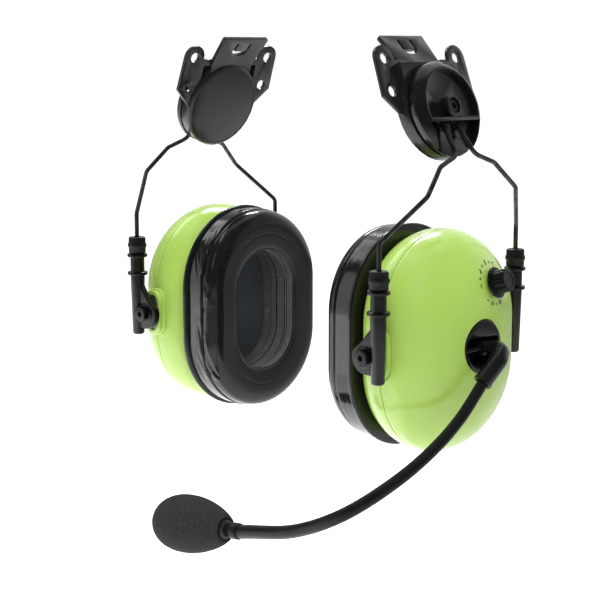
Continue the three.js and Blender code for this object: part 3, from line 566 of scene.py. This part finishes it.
def into_row(obj, name, matrix, side, materials, body, nodes, sharp):
    """Places a piece drawn in a local frame: on its side, in metres, riding its body for its nodes."""
    obj.name = name
    obj.data.name = name
    full = Matrix.Diagonal((side * MM, MM, MM, 1)) @ matrix
    obj.data.transform(full)
    if full.determinant() < 0:
        obj.data.flip_normals()
    return dress(obj, materials, body, nodes, sharp)


def from_cad(node, name, width, material, body, cuts=()):
    """A copy of a rigid solid, less the cuts, whose edges are rounded by width millimetres."""
    shaped = bmesh.new()
    shaped.from_mesh(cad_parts[node].data)
    bmesh.ops.remove_doubles(shaped, verts=shaped.verts, dist=2e-6)
    bmesh.ops.dissolve_limit(shaped, angle_limit=math.radians(1), verts=shaped.verts, edges=shaped.edges)
    mesh = bpy.data.meshes.new(name)
    mesh.from_pydata([v.co.copy() for v in shaped.verts], [],
                     [[v.index for v in f.verts] for f in shaped.faces])
    shaped.free()
    obj = add(name, mesh)
    for cut in cuts:
        tool = body_object("tool", cut)
        tool.data.transform(Matrix.Scale(MM, 4))
        boolean(obj, "DIFFERENCE", tool)
    soften(obj, width * MM, 30)
    return dress(obj, [material], body, [node], 40)


def paint(node, surface):
    """Gives its finish to a solid that shows as it is."""
    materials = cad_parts[node].data.materials
    materials.clear()
    materials.append(surface.material)


def box(low, high):
    """A block between two corners."""
    (x0, y0, z0), (x1, y1, z1) = low, high
    return skin([[Vector((x, y, z)) for y, z in ((y0, z0), (y1, z0), (y1, z1), (y0, z1))]
                 for x in (x0, x1)])


def band(axis, start, end, inner, outer, sides=64):
    """A ring of square section."""
    rows = []
    for along, radius in ((start, inner), (end, inner), (end, outer), (start, outer)):
        rows.append([on_axis(axis, along, radius * math.cos(2 * math.pi * k / sides),
                             radius * math.sin(2 * math.pi * k / sides)) for k in range(sides)])
    return skin(rows, closed=True)


def bracket_cuts(side):
    """What the moulding lacks beside its solid: a wider window round the tongue, ear steps, a ring line."""
    slit, ear_root, ear_top, ear_back, ear_front = 1.45, 13.8, 29, -0.3, 2.3
    ring_back, ring_face, ring_inner, ring_outer = -3, -1.75, 19.9, 20.3
    through_blade = 2
    mirror = Matrix.Diagonal((side, 1, 1, 1)) @ local_bracket()
    blade = mirror @ Matrix.Translation((0, 0, BLADE_FOOT)) @ Matrix.Rotation(-BLADE_LEAN, 4, "Y")
    turns = [math.pi + math.pi * k / 16 for k in range(17)]
    moon = [[Vector((x, BLADE_SHIFT + WINDOW_HALF * math.cos(t), TONGUE_END + WINDOW_DEPTH * math.sin(t)))
             for t in turns] for x in (-through_blade, through_blade)]
    made = [placed(skin(moon), blade)]
    for sign in (-1, 1):
        near, far = sorted((BLADE_SHIFT + sign * (WINDOW_HALF - slit), BLADE_SHIFT + sign * WINDOW_HALF))
        low, high = (-through_blade, near, TONGUE_END - 0.1), (through_blade, far, TONGUE_ROOT)
        made.append(placed(box(low, high), blade))
        near, far = sorted((sign * ear_root, sign * EAR_EDGE))
        made.append(placed(box((ear_back, near, EAR_STEP), (ear_front, far, ear_top)), mirror))
    ring = band("x", ring_back, ring_face, ring_inner, ring_outer)
    made.append(placed(ring, mirror @ Matrix.Translation((0, 0, DRUM_RISE))))
    return made


# ---------------- cup
def dome_row(degrees, inset):
    angle = math.radians(degrees)
    rise = math.sin(angle) ** (2 / FULLNESS)
    radius = 0 if degrees == 90 else (BELLY - inset) * math.cos(angle) ** (2 / FULLNESS)
    return BELLY_X + (POLE - BELLY_X - inset) * rise, radius, SHELL_CORE + CORE_GROWTH * rise * rise


def dome_row_at(x, inset):
    share = ((x - BELLY_X) / (POLE - BELLY_X - inset)) ** (FULLNESS / 2)
    return dome_row(math.degrees(math.asin(share)), inset)


def foot_row(degrees):
    angle = math.radians(degrees)
    return BELLY_X - (BELLY_X - GAP) * math.sin(angle), FOOT + (BELLY - FOOT) * math.cos(angle), SHELL_CORE


def on_dome(y, z):
    """The dome's outer point over a given y and z, and the outward normal there."""
    rise = 0.9
    over = 0
    for _ in range(12):
        over = max(abs(z) - SHELL_CORE - CORE_GROWTH * rise * rise, 0)
        rise = (1 - (math.hypot(y, over) / BELLY) ** FULLNESS) ** (1 / FULLNESS)
    height = POLE - BELLY_X
    slope = math.hypot(y, over) ** (FULLNESS - 2) / BELLY ** FULLNESS
    normal = Vector((rise ** (FULLNESS - 1) / height, slope * y, slope * math.copysign(over, z)))
    return Vector((BELLY_X + height * rise, y, z)), normal.normalized()


def pad_shape(size, start, end, edge=0.6):
    """One step of the pivot pads, with its outer edge rounded."""
    width, height = size
    radius, core = width / 2, (height - width) / 2
    rows = [(start, radius, core), (end - edge, radius, core)]
    rows += [(end - edge * (1 - math.sin(t)), radius - edge * (1 - math.cos(t)), core)
             for t in (math.radians(30 * k) for k in (1, 2, 3))]
    centre = Matrix.Translation((CUP_PIVOT.x - RIM_X, 0, -LIFT))
    return placed(oblong_solid("y", rows, arc=16, line=6), centre)


FLIP_Y = Matrix.Diagonal((1, -1, 1, 1))


def cup_shell():
    end = SEAM - GAP / 2
    outer = [foot_row(90 - 90 * k / 16) for k in range(17)]
    outer += [dome_row_at(end - 0.15, 0), dome_row_at(end - 0.04, 0.04), dome_row_at(end, 0.15)]
    inner = [dome_row_at(end, WALL)]
    for k in range(1, 7):
        x, radius, core = foot_row(10 * k)
        inner.append((x, radius - (0.85 + 0.15 * k) * WALL * 0.62, core))
    rows = [*outer, *inner, (WALL, LIP, SHELL_CORE), (GAP, LIP, SHELL_CORE)]
    shell = body_object("cup_shell", oblong_solid("x", rows, closed=True))
    recess_width, recess_height, depth = PAD_RECESS
    for flip in (Matrix.Identity(4), FLIP_Y):
        for *size, top in (PAD_LOW, PAD_HIGH):
            boolean(shell, "UNION", placed(pad_shape(size, PAD_ROOT, top), flip))
        recess = pad_shape((recess_width, recess_height), PAD_HIGH[2] - depth, PAD_HIGH[2] + 3, 0.1)
        boolean(shell, "DIFFERENCE", placed(recess, flip))
    return shell


def cup_cover(side):
    start = SEAM + GAP / 2
    rows = [dome_row(90 - 4 * k, 0) for k in range(22)]
    rows += [dome_row_at(start + 0.15, 0), dome_row_at(start + 0.04, 0.04), dome_row_at(start, 0.15)]
    rows += [dome_row_at(start, WALL)]
    rows += [dome_row(15 * k, WALL) for k in range(1, 7)]
    cover = body_object("cup_cover", oblong_solid("x", rows))
    notch = pad_shape((PAD_LOW[0] + 2 * GAP, PAD_LOW[1] + 2 * GAP), PAD_ROOT - 6, PAD_LOW[2] + 3, 0.1)
    boolean(cover, "DIFFERENCE", notch, placed(notch, FLIP_Y))
    if side > 0:
        hole = placed(rod("x", TURRET_RADIUS + GAP, -TURRET_DEPTH - 1, 5, 64), at_turret())
        boolean(cover, "DIFFERENCE", hole)
    return cover


def at_turret():
    return Matrix.Translation((TURRET_FACE, -SWAY, TURRET_Z)) @ Matrix.Rotation(-TURRET_TURN, 4, "Z")


def at_knob():
    point, normal = on_dome(KNOB_Y, KNOB_Z)
    return aimed(point, X, normal)


def rim_plate():
    outer, inner, thick = RIM_OUTER, RIM_INNER, RIM_THICK
    return body_object("rim_plate", oblong_solid("x", [
        (0, inner + 0.3), (0, outer - 0.9), (-0.12, outer - 0.5), (-0.45, outer - 0.12), (-0.8, outer),
        (-thick + 0.7, outer), (0.3 - thick, outer - 0.15), (-thick, outer - 0.5), (-thick, inner + 0.3),
        (0.3 - thick, inner), (-0.3, inner)], RIM_CORE, closed=True, arc=40, line=12))


FOLDS = [  # (upper or lower corner, start and end as (way round from the corner, depth), how deep)
    (1, (-5, -17.6), (33, -14.2), 0.55), (1, (-1, -15.4), (30, -8.4), 0.5),
    (1, (5, -12.6), (25, -4.6), 0.4), (1, (14, -13.0), (34, -10.6), 0.35),
    (1, (-9, -13.2), (3, -16.6), 0.35), (-1, (-9, -10.2), (12, -13.6), 0.4),
    (-1, (-2, -12.8), (19, -17.0), 0.5), (-1, (6, -9.4), (24, -15.2), 0.35),
    (-1, (10, -6.2), (22, -8.2), 0.25)]
FOLD_INSIDE, FOLD_BACK, FOLD_TURN = 27, -3, -15.5    # where the folds start, and where they turn forward
CREASE_RADIUS, CREASE_HEIGHT = 26.0, 0.1


def wrinkle(point, radius):
    """How far the folds at the front corners move the skin: drawn lines with raised shoulders."""
    if point.y > 0:
        return 0
    beyond = abs(point.z) - CUSHION_CORE
    way = radius * math.asin(min(max(beyond, 0) / radius, 1)) if beyond > 0 else beyond
    groove_width, shoulder_at, shoulder_width, shoulder_height = 0.75, 1.9, 1.1, 0.55
    wander_size, wander_rate, end_fade, middle_fade = 0.5, 0.2, 0.08, 0.84
    total = 0
    for sign, first, last, deep in FOLDS:
        if sign * point.z < 0:
            continue
        start, end, here = Vector(first), Vector(last), Vector((way, point.x))
        run = end - start
        share = min(max((here - start).dot(run) / run.length_squared, 0), 1)
        nearest = start + run * share
        wander = wander_size * noise.noise(Vector((way * wander_rate, point.x * wander_rate, deep * 40)))
        off = (here - nearest).length + wander
        fade = math.sin(math.pi * (end_fade + middle_fade * share))
        shoulder = shoulder_height * math.exp(-((off - shoulder_at) / shoulder_width) ** 2)
        total += deep * fade * (shoulder - math.exp(-(off / groove_width) ** 2))
    return total


def crease(point):
    """A thin drawn line on the face: two arcs round the opening's upper and lower parts."""
    around = math.degrees(math.atan2(point.z, -point.y))
    return 1 if 35 < around < 118 or -95 < around < -28 else 0


def ear_cushion(side):
    """The padded ring: a flat welded band, a seam, a full roll, a flat face and a stepped opening."""
    slack = 1.0 if side < 0 else 0.12
    outer, inner, face = CUSHION_OUTER, CUSHION_INNER, CUSHION_FACE
    back = -RIM_THICK - GAP
    high, low = CUSHION_CORE, OPENING_CORE
    middle = (high + low) / 2
    proud, band_front, seam = outer + 0.5, -11.5, -12.2

    def groove(start, width, depth, before, after):
        """A groove of the opening's wall; before and after are the wall's own radii past inner."""
        return [(start, inner + before, low), (start + 0.1, inner + depth, low),
                (start + width - 0.1, inner + depth, low), (start + width, inner + after, low)]
    band = [(back, inner + 6, low), (back, proud - 0.4, high), (back - 0.25, proud, high)]
    band += [(back - 0.9 - 0.7 * k, proud, high) for k in range(12)]
    band += [(band_front, proud - 0.1, high), (band_front - 0.25, proud - 0.5, high),
             (band_front - 0.45, outer - 0.6, high), (seam, outer - 0.45, high)]
    roll = smooth_profile([
        (seam, outer - 0.45, high), (seam - 0.6, outer - 0.12, high), (seam - 1.6, outer - 0.02, high),
        (seam - 3.0, outer - 0.3, high), (seam - 4.4, outer - 0.95, high), (seam - 5.7, outer - 1.95, high),
        (seam - 6.7, outer - 3.3, high), (face, outer - 4.9, high), (face - 0.25, outer - 6.6, high),
        (face - 0.3, outer - 8.2, high), (face - 0.22, inner + 9.0, middle),
        (face - 0.15, inner + 7.2, middle), (face, inner + 4.6, middle),
        (face + 0.22, inner + 2.6, low + 0.3), (face + 0.6, inner + 1.3, low)], 4)
    lip = [(face + 0.5, inner + 1.0, low), (face + 0.45, inner + 0.75, low),
           (face + 0.6, inner + 0.45, low), (face + 1.1, inner + 0.25, low)]
    skirt = [(face + 2.1, inner + 0.1, low), *groove(-14.5, 0.6, 0.9, 0, 0.1), (-13.5, inner - 0.2, low),
             *groove(-13.0, 0.8, 1.6, 0.1, 0.35), *groove(-6.9, 0.8, 1.9, 0.35, 0.45),
             (back, inner + 0.45, low)]
    verts, faces = oblong_solid("x", [*band, *roll[1:], *lip, *skirt], closed=True, arc=110, line=30)
    moved = []
    for v in verts:
        span = Vector((0, v.y, v.z - max(-high, min(high, v.z))))
        radius = span.length
        if radius > FOLD_INSIDE and v.x < FOLD_BACK:
            share = slack * min((FOLD_BACK - v.x) / 3, 1) * min((radius - FOLD_INSIDE) / 6, 1)
            turn = min(max((FOLD_TURN - v.x) / 3, 0), 1)
            push = wrinkle(v, radius) * share
            moved.append(v + span.normalized() * push * (1 - 0.7 * turn) - X * push * 0.5 * turn)
        elif v.x < face + 0.1 and abs(radius - CREASE_RADIUS) < 0.3:
            moved.append(v + X * CREASE_HEIGHT * crease(v))
        else:
            moved.append(v)
    return body_object("ear_cushion", (moved, faces))


def in_opening(face, side):
    """How deep a face of the placed cushion or liner lies, and how far out from the opening's middle."""
    middle = CUP_PIVOT.z + LIFT
    x, y, z = (value / MM for value in face.center)
    over = max(abs(z - middle) - OPENING_CORE, 0)
    return side * x - RIM_X, math.hypot(y - SWAY, over)


def line_opening(cushion, side):
    """Gives the wall of the opening a lighter grey skin: a painted sheen, for the light its vinyl reflects.
    """
    lip, wall = CUSHION_FACE + 1.2, CUSHION_INNER + 0.47
    for face in cushion.data.polygons:
        depth, out = in_opening(face, side)
        if depth > lip and out < wall:
            face.material_index = 1


def foam_liner():
    """The foam disc, at the bottom of a collar, with a thin green edge between the two."""
    well, outer, low, high = CUSHION_INNER + 0.8, LINER_RADIUS - 0.2, OPENING_CORE, LINER_CORE
    collar_end, edge_end = LINER_SEAT - LINER_EDGE, LINER_SEAT - 0.05
    edge_start = collar_end + 0.02
    dish = [(LINER_SEAT - 0.3 * math.cos(math.pi * k / 16), outer * k / 8, high * min(1, k / 3))
            for k in range(9)]
    foam = oblong_solid("x", [*dish, (LINER_BACK, outer, high), (LINER_BACK, 0.0, high * 0.2)])
    collar = oblong_solid("x", [(LINER_FRONT, well, low), (collar_end, well, low),
                                (collar_end, outer, high), (LINER_FRONT, outer, high)], closed=True)
    edge = oblong_solid("x", [(edge_start, well - 0.5, low), (edge_end, well - 0.5, low),
                              (edge_end, outer, high), (edge_start, outer, high)], closed=True)
    return body_object("foam_liner", foam, collar, edge)


def line_collar(liner, side):
    """Gives the liner's collar the opening's lighter grey (painted sheen), its green edge a darker olive
    (painted shade).
    """
    collar_end, edge_end, edge_inner = LINER_SEAT - LINER_EDGE + 0.01, LINER_SEAT - 0.2, CUSHION_INNER + 0.2
    for face in liner.data.polygons:
        depth, out = in_opening(face, side)
        if depth < collar_end:
            face.material_index = 1
        elif depth < edge_end and out > edge_inner:
            face.material_index = 2


# ---------------- slider, cap, pin
WING_X = CUP_PIVOT.x - LEG.x


def slider():
    """A tube with two flanges and a neck, and the web and wing that carry the pivot."""
    low, high, bottom, tip, bore, stem = 3.0, 3.6, -11.5, 36, 1.5, 2.6
    flange, thick, low_flange, top_flange, neck, edge = 5.1, 1.8, 19.2, 28.4, 3.55, 0.45

    def ring(at):
        end = at + thick
        return [(at, flange - edge), (at + edge * 0.4, flange - 0.1), (at + edge, flange),
                (end - edge, flange), (end - edge * 0.4, flange - 0.1), (end, flange - edge)]
    after = low_flange + thick
    body = lathe("z", [
        (bottom, bore), (bottom, low - 1.0), (bottom + 0.3, low - 0.4), (bottom + 0.9, low),
        (low_flange - 0.3, high), (low_flange, high + 0.3), *ring(low_flange), (after, neck + 0.3),
        (after + 0.3, neck), (top_flange - 0.3, neck), (top_flange, neck + 0.3), *ring(top_flange),
        (top_flange + thick, stem), (tip, stem), (tip, bore)], 40)
    tube = body_object("slider", skin_tube(body, 40))
    radius, start, end = 8.0, -2.2, 1.2
    first, last = math.pi - math.pi * 0.12, math.pi * 1.5
    angles = [first + (last - first) * k / 24 for k in range(25)]
    rim = [(WING_X + radius * math.cos(a), radius * math.sin(a)) for a in angles]
    # the web's upper edge sweeps in a hollow curve from the tube down to the round of the pivot
    top, join = Vector((0, low_flange - 0.7)), Vector(rim[0])
    hollow = Vector((join.x * 0.5, join.y + (top.y - join.y) * 0.3))
    sweep_down = [tuple(curved(top, hollow, join, k / 10)) for k in range(1, 10)]
    points = [tuple(top), *sweep_down, *rim, (0, -radius)]
    rows = [[Vector((px, y, pz)) for px, pz in points] for y in (start, end)]
    boolean(tube, "UNION", soften(body_object("wing", skin(rows)), 0.5, 30, 3))
    washer = lathe("y", [(end - 1, 0), (end - 1, 5.4), (end, 5.4), (end + 0.5, 5.1), (end + 0.8, 4.6),
                         (end + 0.9, 4.2), (end + 0.9, 0)], 40)
    boolean(tube, "UNION", placed(washer, Matrix.Translation((WING_X, 0, 0))))
    return tube


def skin_tube(geometry, sides):
    """Closes a turned tube's bore: the first and last rows join into a hollow."""
    verts, faces = geometry
    faces = [f for f in faces if len(f) <= 4]
    last = len(verts) - sides
    for k in range(sides):
        k2 = (k + 1) % sides
        faces.append([k, last + k, last + k2, k2])
    return verts, faces


def slider_cap():
    """Ribbed rubber: fine grooves above and below a smooth bulge."""
    seat, top, radius, bulge = 30.2 + GAP, 38.7, 4.3, 4.75
    roof, wire_hole, bore, ribs, groove = 36.3, 1.5, 2.9, 26, 0.16

    def ripple(angle, along):
        smooth = seat + 2.7 < along < seat + 5.2
        edge = along > top - 0.4 or along < seat + 0.2
        return 0 if smooth or edge else -groove * (0.5 + 0.5 * math.cos(ribs * angle)) ** 2
    outer = [(seat, radius - 0.3), (seat + 0.25, radius), (seat + 2.5, radius), (seat + 2.75, radius + 0.1),
             (seat + 3.1, bulge - 0.15), (seat + 3.4, bulge), (seat + 4.5, bulge),
             (seat + 4.8, bulge - 0.15), (seat + 5.15, radius + 0.1), (seat + 5.4, radius),
             (top - 0.9, radius), (top - 0.35, radius - 0.15), (top, radius - 0.7), (top, wire_hole),
             (roof, wire_hole), (roof, bore), (seat, bore)]
    sides = ribs * 6
    verts, faces = lathe("z", outer, sides)
    moved = []
    for v in verts:
        out = Vector((v.x, v.y, 0))
        if out.length > bore + 0.6:
            out *= 1 + ripple(math.atan2(v.y, v.x), v.z) / out.length
        moved.append(Vector((out.x, out.y, v.z)))
    return body_object("slider_cap", skin_tube((moved, faces), sides))


def pivot_pin():
    """A bolt through the wing with a hexagon nut that has a dimple."""
    start, thick, corner, flat = 1.2 + 0.9 + GAP, 2.2, 7.0 / math.sqrt(3), 3.5
    end, bolt, bolt_start = start + thick, 1.6, -9.2
    nut = body_object("pivot_pin", lathe("y", [(start, 0), (start, corner), (end, corner), (end, 0)], 6))
    crown = lathe("y", [(start - 1, 0), (start - 1, 6), (end - 0.75, 6), (end + 0.2, flat - 0.35),
                        (end + 0.2, 0)], 48)
    boolean(nut, "INTERSECT", crown)
    soften(nut, 0.16)
    dimple = lathe("y", [(end - 1.3, 0), (end - 1.3, 1.1), (end - 0.3, 1.25), (end + 1, 1.8),
                         (end + 1, 0)], 28)
    boolean(nut, "DIFFERENCE", dimple)
    boolean(nut, "UNION", rod("y", bolt, bolt_start, start + 0.6, 24, 0.2))
    nut.data.transform(Matrix.Translation((WING_X, 0, 0)))
    return nut


# ---------------- boom and knob
def elbow():
    """The bent tube from the turret, a little wider past its bend, with a collar at its end."""
    corners = [Vector(c) for c in ELBOW]
    steps, knuckle_half, bore = 12, 3.4, 3.1
    path = bent(corners, [4.5, 5.0], steps)

    def radius(i):
        share = min(max((i - 0.2 * steps) / (0.8 * steps), 0), 1)
        return ELBOW_RADIUS + (ELBOW_LOWER - ELBOW_RADIUS) * share * share * (3 - 2 * share)
    body = body_object("boom_elbow", sweep(path, radius, 40))
    knuckle = rod("y", ELBOW_RADIUS + 0.1, ARM.y - knuckle_half, ARM.y + knuckle_half, 40, 0.4)
    boolean(body, "UNION", placed(knuckle, Matrix.Translation((ARM.x, 0, ARM.z))))
    turn = aimed(corners[-1], Z, (corners[-1] - corners[-2]).normalized())
    wide = ELBOW_COLLAR
    collar = lathe("z", [(-1.8, 0), (-1.8, ELBOW_LOWER - 0.15), (-1.5, wide - 0.1), (-1.2, wide),
                         (-0.5, wide), (-0.15, wide - 0.15), (0, wide - 0.5), (0, 0)], 48)
    boolean(body, "UNION", placed(collar, turn))
    boolean(body, "DIFFERENCE", placed(rod("z", bore, -4.0, 2, 40), turn))
    return body


def neck_points():
    """The gooseneck's corners, its first one pushed back into the elbow's bore."""
    points = [Vector(p) for p in NECK_PATH]
    in_bore = 4.0 - GAP
    points[0] = points[0] - (points[0] - Vector(ELBOW[-2])).normalized() * in_bore
    return points


def gooseneck():
    """The sleeve thickens a little on its way to the microphone."""
    spans = 150

    def radius(i):
        return NECK + (NECK_END - NECK) * (i / spans) ** 1.5
    return body_object("boom_gooseneck", sweep(through(neck_points(), spans), radius, 32))


def at_mic():
    return aimed(NECK_PATH[-1], X, MIC_AXIS)


def mic_collar():
    """A smooth ring, and the stem that runs on into the foam."""
    wide, stem, start, end = 3.9, 3.3, 0.4, 10.4
    return body_object("mic_collar", lathe("x", [
        (start, 0), (start, stem), (0.6, wide - 0.25), (1.0, wide - 0.05), (4.6, wide), (5.0, wide - 0.1),
        (5.2, wide - 0.35), (5.4, stem + 0.15), (end, stem), (end, 0)], 40))


def windscreen():
    """Egg-shaped foam with a shallow hollow round the collar, and an open-cell surface."""
    bore, pocket, pocket_end, first, steps = 3.7, 4.9, 19.5, math.radians(36), 44
    coarse_lump, fine_lump = 0.10, 0.06
    middle = Vector((30, 0, 0))
    profile = [(FOAM_START + 2.2, bore), (FOAM_START + 1.5, bore + 0.5), (FOAM_START + 0.5, bore + 1.3),
               (FOAM_START, bore + 2.1)]
    for i in range(steps + 1):
        t = first + (math.pi - first) * i / steps
        share = (math.cos(first) - math.cos(t)) / (math.cos(first) + 1)
        radius = FOAM_RADIUS * math.sin(t) * (1 - FOAM_EGG * math.cos(t)) if i < steps else 0
        profile.append((FOAM_START + 0.5 + (2 * FOAM_HALF - 0.5) * share, radius))
    profile += [(pocket_end, 0), (pocket_end, pocket), (FOAM_START + 3, pocket), (FOAM_START + 3, bore)]
    verts, faces = lathe("x", profile, 72)
    moved = []
    for v in verts:
        if math.hypot(v.y, v.z) > pocket + 0.6 or v.x > middle.x:
            lump = coarse_lump * noise.noise(v * 0.35) + fine_lump * noise.noise(v * 1.3)
            moved.append(v + (v - middle).normalized() * lump)
        else:
            moved.append(v)
    return body_object("mic_windscreen", (moved, faces))


def knob():
    """A pointer-less knob: thin flange and a fluted barrel."""
    sides, flute_depth, narrowness = FLUTES * 12, 0.55, 6
    flange, barrel, length = KNOB_FLANGE, KNOB_BARREL, KNOB_LENGTH
    profile = [  # (position, radius, how deep the flutes are there)
        (1.2, 0, 0), (1.2, flange - 0.25, 0), (1.4, flange, 0), (2.1, flange, 0), (2.5, flange - 0.3, 0),
        (2.6, barrel + 0.3, 0), (2.8, barrel, 0.3), (3.3, barrel, 1), (length - 0.7, barrel - 0.05, 1),
        (length - 0.25, barrel - 0.25, 0.9), (length, barrel - 0.75, 0.5), (length, barrel - 1.4, 0),
        (length - 0.3, barrel - 1.7, 0), (length - 0.3, 0, 0)]
    rows = []
    for along, radius, share in profile:
        rows.append([])
        for k in range(sides if radius else 1):
            angle = 2 * math.pi * k / sides
            here = radius - share * flute_depth * (0.5 + 0.5 * math.cos(FLUTES * angle)) ** narrowness
            rows[-1].append(Vector((along, here * math.cos(angle), here * math.sin(angle))))
    return body_object("volume_knob", skin(rows))


def printed(number):
    """A number of the dial, as a thin shape that faces along X."""
    curve = bpy.data.curves.new("mark", "FONT")
    curve.body = str(number)
    curve.size = MARK_SIZE
    curve.align_x = curve.align_y = "CENTER"
    curve.extrude = MARK_THICK / 2
    curve.offset = MARK_BOLD
    text = add("mark", curve)
    bpy.context.view_layer.update()
    mesh = bpy.data.meshes.new_from_object(text.evaluated_get(bpy.context.evaluated_depsgraph_get()))
    verts = [Vector((v.co.z + MARK_THICK / 2, v.co.x, v.co.y)) for v in mesh.vertices]
    faces = [list(face.vertices) for face in mesh.polygons]
    bpy.data.objects.remove(text)
    bpy.data.curves.remove(curve)
    bpy.data.meshes.remove(mesh)
    return verts, faces


def dial_marks():
    """Round the knob: odd numbers with dots between them, printed on the dome's curve."""
    shapes = []
    for k in range(MARKS):
        angle = math.radians(MARK_FIRST - MARK_STEP * k)
        mark = rod("x", MARK_DOT, 0, MARK_THICK, 12) if k % 2 else printed(k + 1)
        up = Vector((0, math.cos(angle), math.sin(angle)))
        shapes.append(placed(mark, Matrix.Translation(up * MARK_RING)))
    marks = body_object("dial_marks", *shapes)
    middle, outward = on_dome(KNOB_Y, KNOB_Z)
    turn = X.rotation_difference(outward).to_matrix()
    for v in marks.data.vertices:
        flat = turn @ Vector((0, v.co.y, v.co.z)) + middle
        point, normal = on_dome(flat.y, flat.z)
        v.co = point + normal * (v.co.x + MARK_LIFT)
    return marks


# ---------------- assembly
def wire_path():
    """The yoke's middle line, from the end of its rear leg over the hub to the end of its front leg."""
    corners = [(Vector(p), share) for p, share in YOKE]
    rear = [Vector((p.x, p.y + share * SWAY, p.z)) for p, share in corners]
    front = [Vector((p.x, -p.y + share * SWAY, p.z)) for p, share in corners]
    return bent([*reversed(rear), *front], [*reversed(YOKE_BENDS), *YOKE_BENDS], 8)


def build_side(look, side, hand):
    """One ear-muff, but for the boom and the knob."""
    def copy(node, name, width, key, body, cuts=()):
        from_cad(f"{node}_{hand}", f"{name}_{hand}", width, look[key], body, cuts)

    def place(obj, name, matrix, keys, body, node, slot, sharp):
        materials, nodes = [look[key] for key in keys], [f"{node}_{hand}"]
        return into_row(obj, f"{name}_{hand}", matrix, side, materials, body, nodes, sharp)
    hub, yoke, cup, cup_frame = f"hub_{hand}", f"yoke_{hand}", f"cup_{hand}", local_cup()
    copy("helmet_bracket", "bracket_moulding", 0.35, "charcoal", "brackets",
         bracket_cuts(side))
    copy("hub", "hub_housing", 0.3, "housing", hub)
    copy("hub_screw", "torx_screw", 0.12, "dark_steel", "brackets")
    wire = body_object("wire", sweep(wire_path(), WIRE, 20))
    place(wire, "bent_wire", Matrix.Identity(4), ["wire"], yoke, "wire_yoke", "spring_wire", 40)

    place(cup_shell(), "cup_base", cup_frame, ["lime"], cup, "cup_shell", "lime_plastic", 32)
    place(cup_cover(side), "cup_dome", cup_frame, ["lime"], cup, "cup_cover", "lime_plastic", 32)
    place(rim_plate(), "seal_plate", cup_frame, ["gloss"], cup, "rim_plate", "gloss_black", 50)
    cushion = place(ear_cushion(side), "padded_ring", cup_frame, ["vinyl", "skirt"], cup, "ear_cushion",
                    "black_vinyl", 50)
    line_opening(cushion, side)
    liner = place(foam_liner(), "foam_pad", cup_frame, ["liner", "skirt", "lime_edge_painted_shade"], cup, "foam_liner",
                  "liner_foam", 50)
    line_collar(liner, side)
    paint(f"speaker_{hand}", look["driver"])

    for end, sign in (("front", -1), ("rear", 1)):
        rides, leg = f"{end}_slider_{hand}", local_leg(sign)
        place(slider(), f"slide_tube_{end}", leg, ["tube"], rides, f"slider_{end}", "charcoal_plastic", 35)
        place(slider_cap(), f"ribbed_cap_{end}", leg, ["rubber"], rides, f"slider_cap_{end}",
              "black_rubber", 50)
        place(pivot_pin(), f"pivot_nut_{end}", leg, ["dark_steel"], rides, f"pivot_pin_{end}", "steel", 30)
        copy(f"spring_plate_{end}", f"spring_leaf_{end}", 0.2, "leaf", cup)


def build_boom(look):
    """The left cup's boom, its microphone, the knob and the marks round it."""
    def place(obj, name, matrix, key, body, nodes, slot, sharp):
        return into_row(obj, name, matrix, 1, [look[key]], body, nodes, sharp)
    still, cup_frame, mic = Matrix.Identity(4), local_cup(), at_mic()
    from_cad("boom_turret", "turret_disc", 0.25, look["gloss"], "turret")
    from_cad("boom_hinge_pin", "turret_pin", 0.15, look["dark_steel"], "turret")
    place(elbow(), "elbow_tube", still, "gloss", "boom_arm", ["boom_elbow"], "gloss_black", 35)
    place(gooseneck(), "gooseneck_tube", still, "neck", "boom_arm", ["boom_gooseneck"], "black_rubber", 40)
    place(mic_collar(), "mic_ring", mic, "neck", "boom_arm", ["mic_collar"], "gloss_black", 40)
    foam = place(windscreen(), "foam_windscreen", mic, "foam", "boom_arm", ["mic_windscreen"],
                 "wind_foam", 60)
    place(knob(), "fluted_knob", cup_frame @ at_knob(), "dull", "knob", ["volume_knob"], "gloss_black", 35)
    place(dial_marks(), "dial_marks", cup_frame, "ink", "cup_left", [], "gloss_black", 35)
    for node, key in (("knob_shaft", "dark_steel"), ("volume_switch", "driver"),
                      ("circuit_board", "board"), ("battery", "cell"), ("mic_capsule", "driver")):
        paint(node, look[key])


camera()
studio()
look = finishes()
floor(look["floor"].material)
build_side(look, 1, "left")
build_side(look, -1, "right")
build_boom(look)
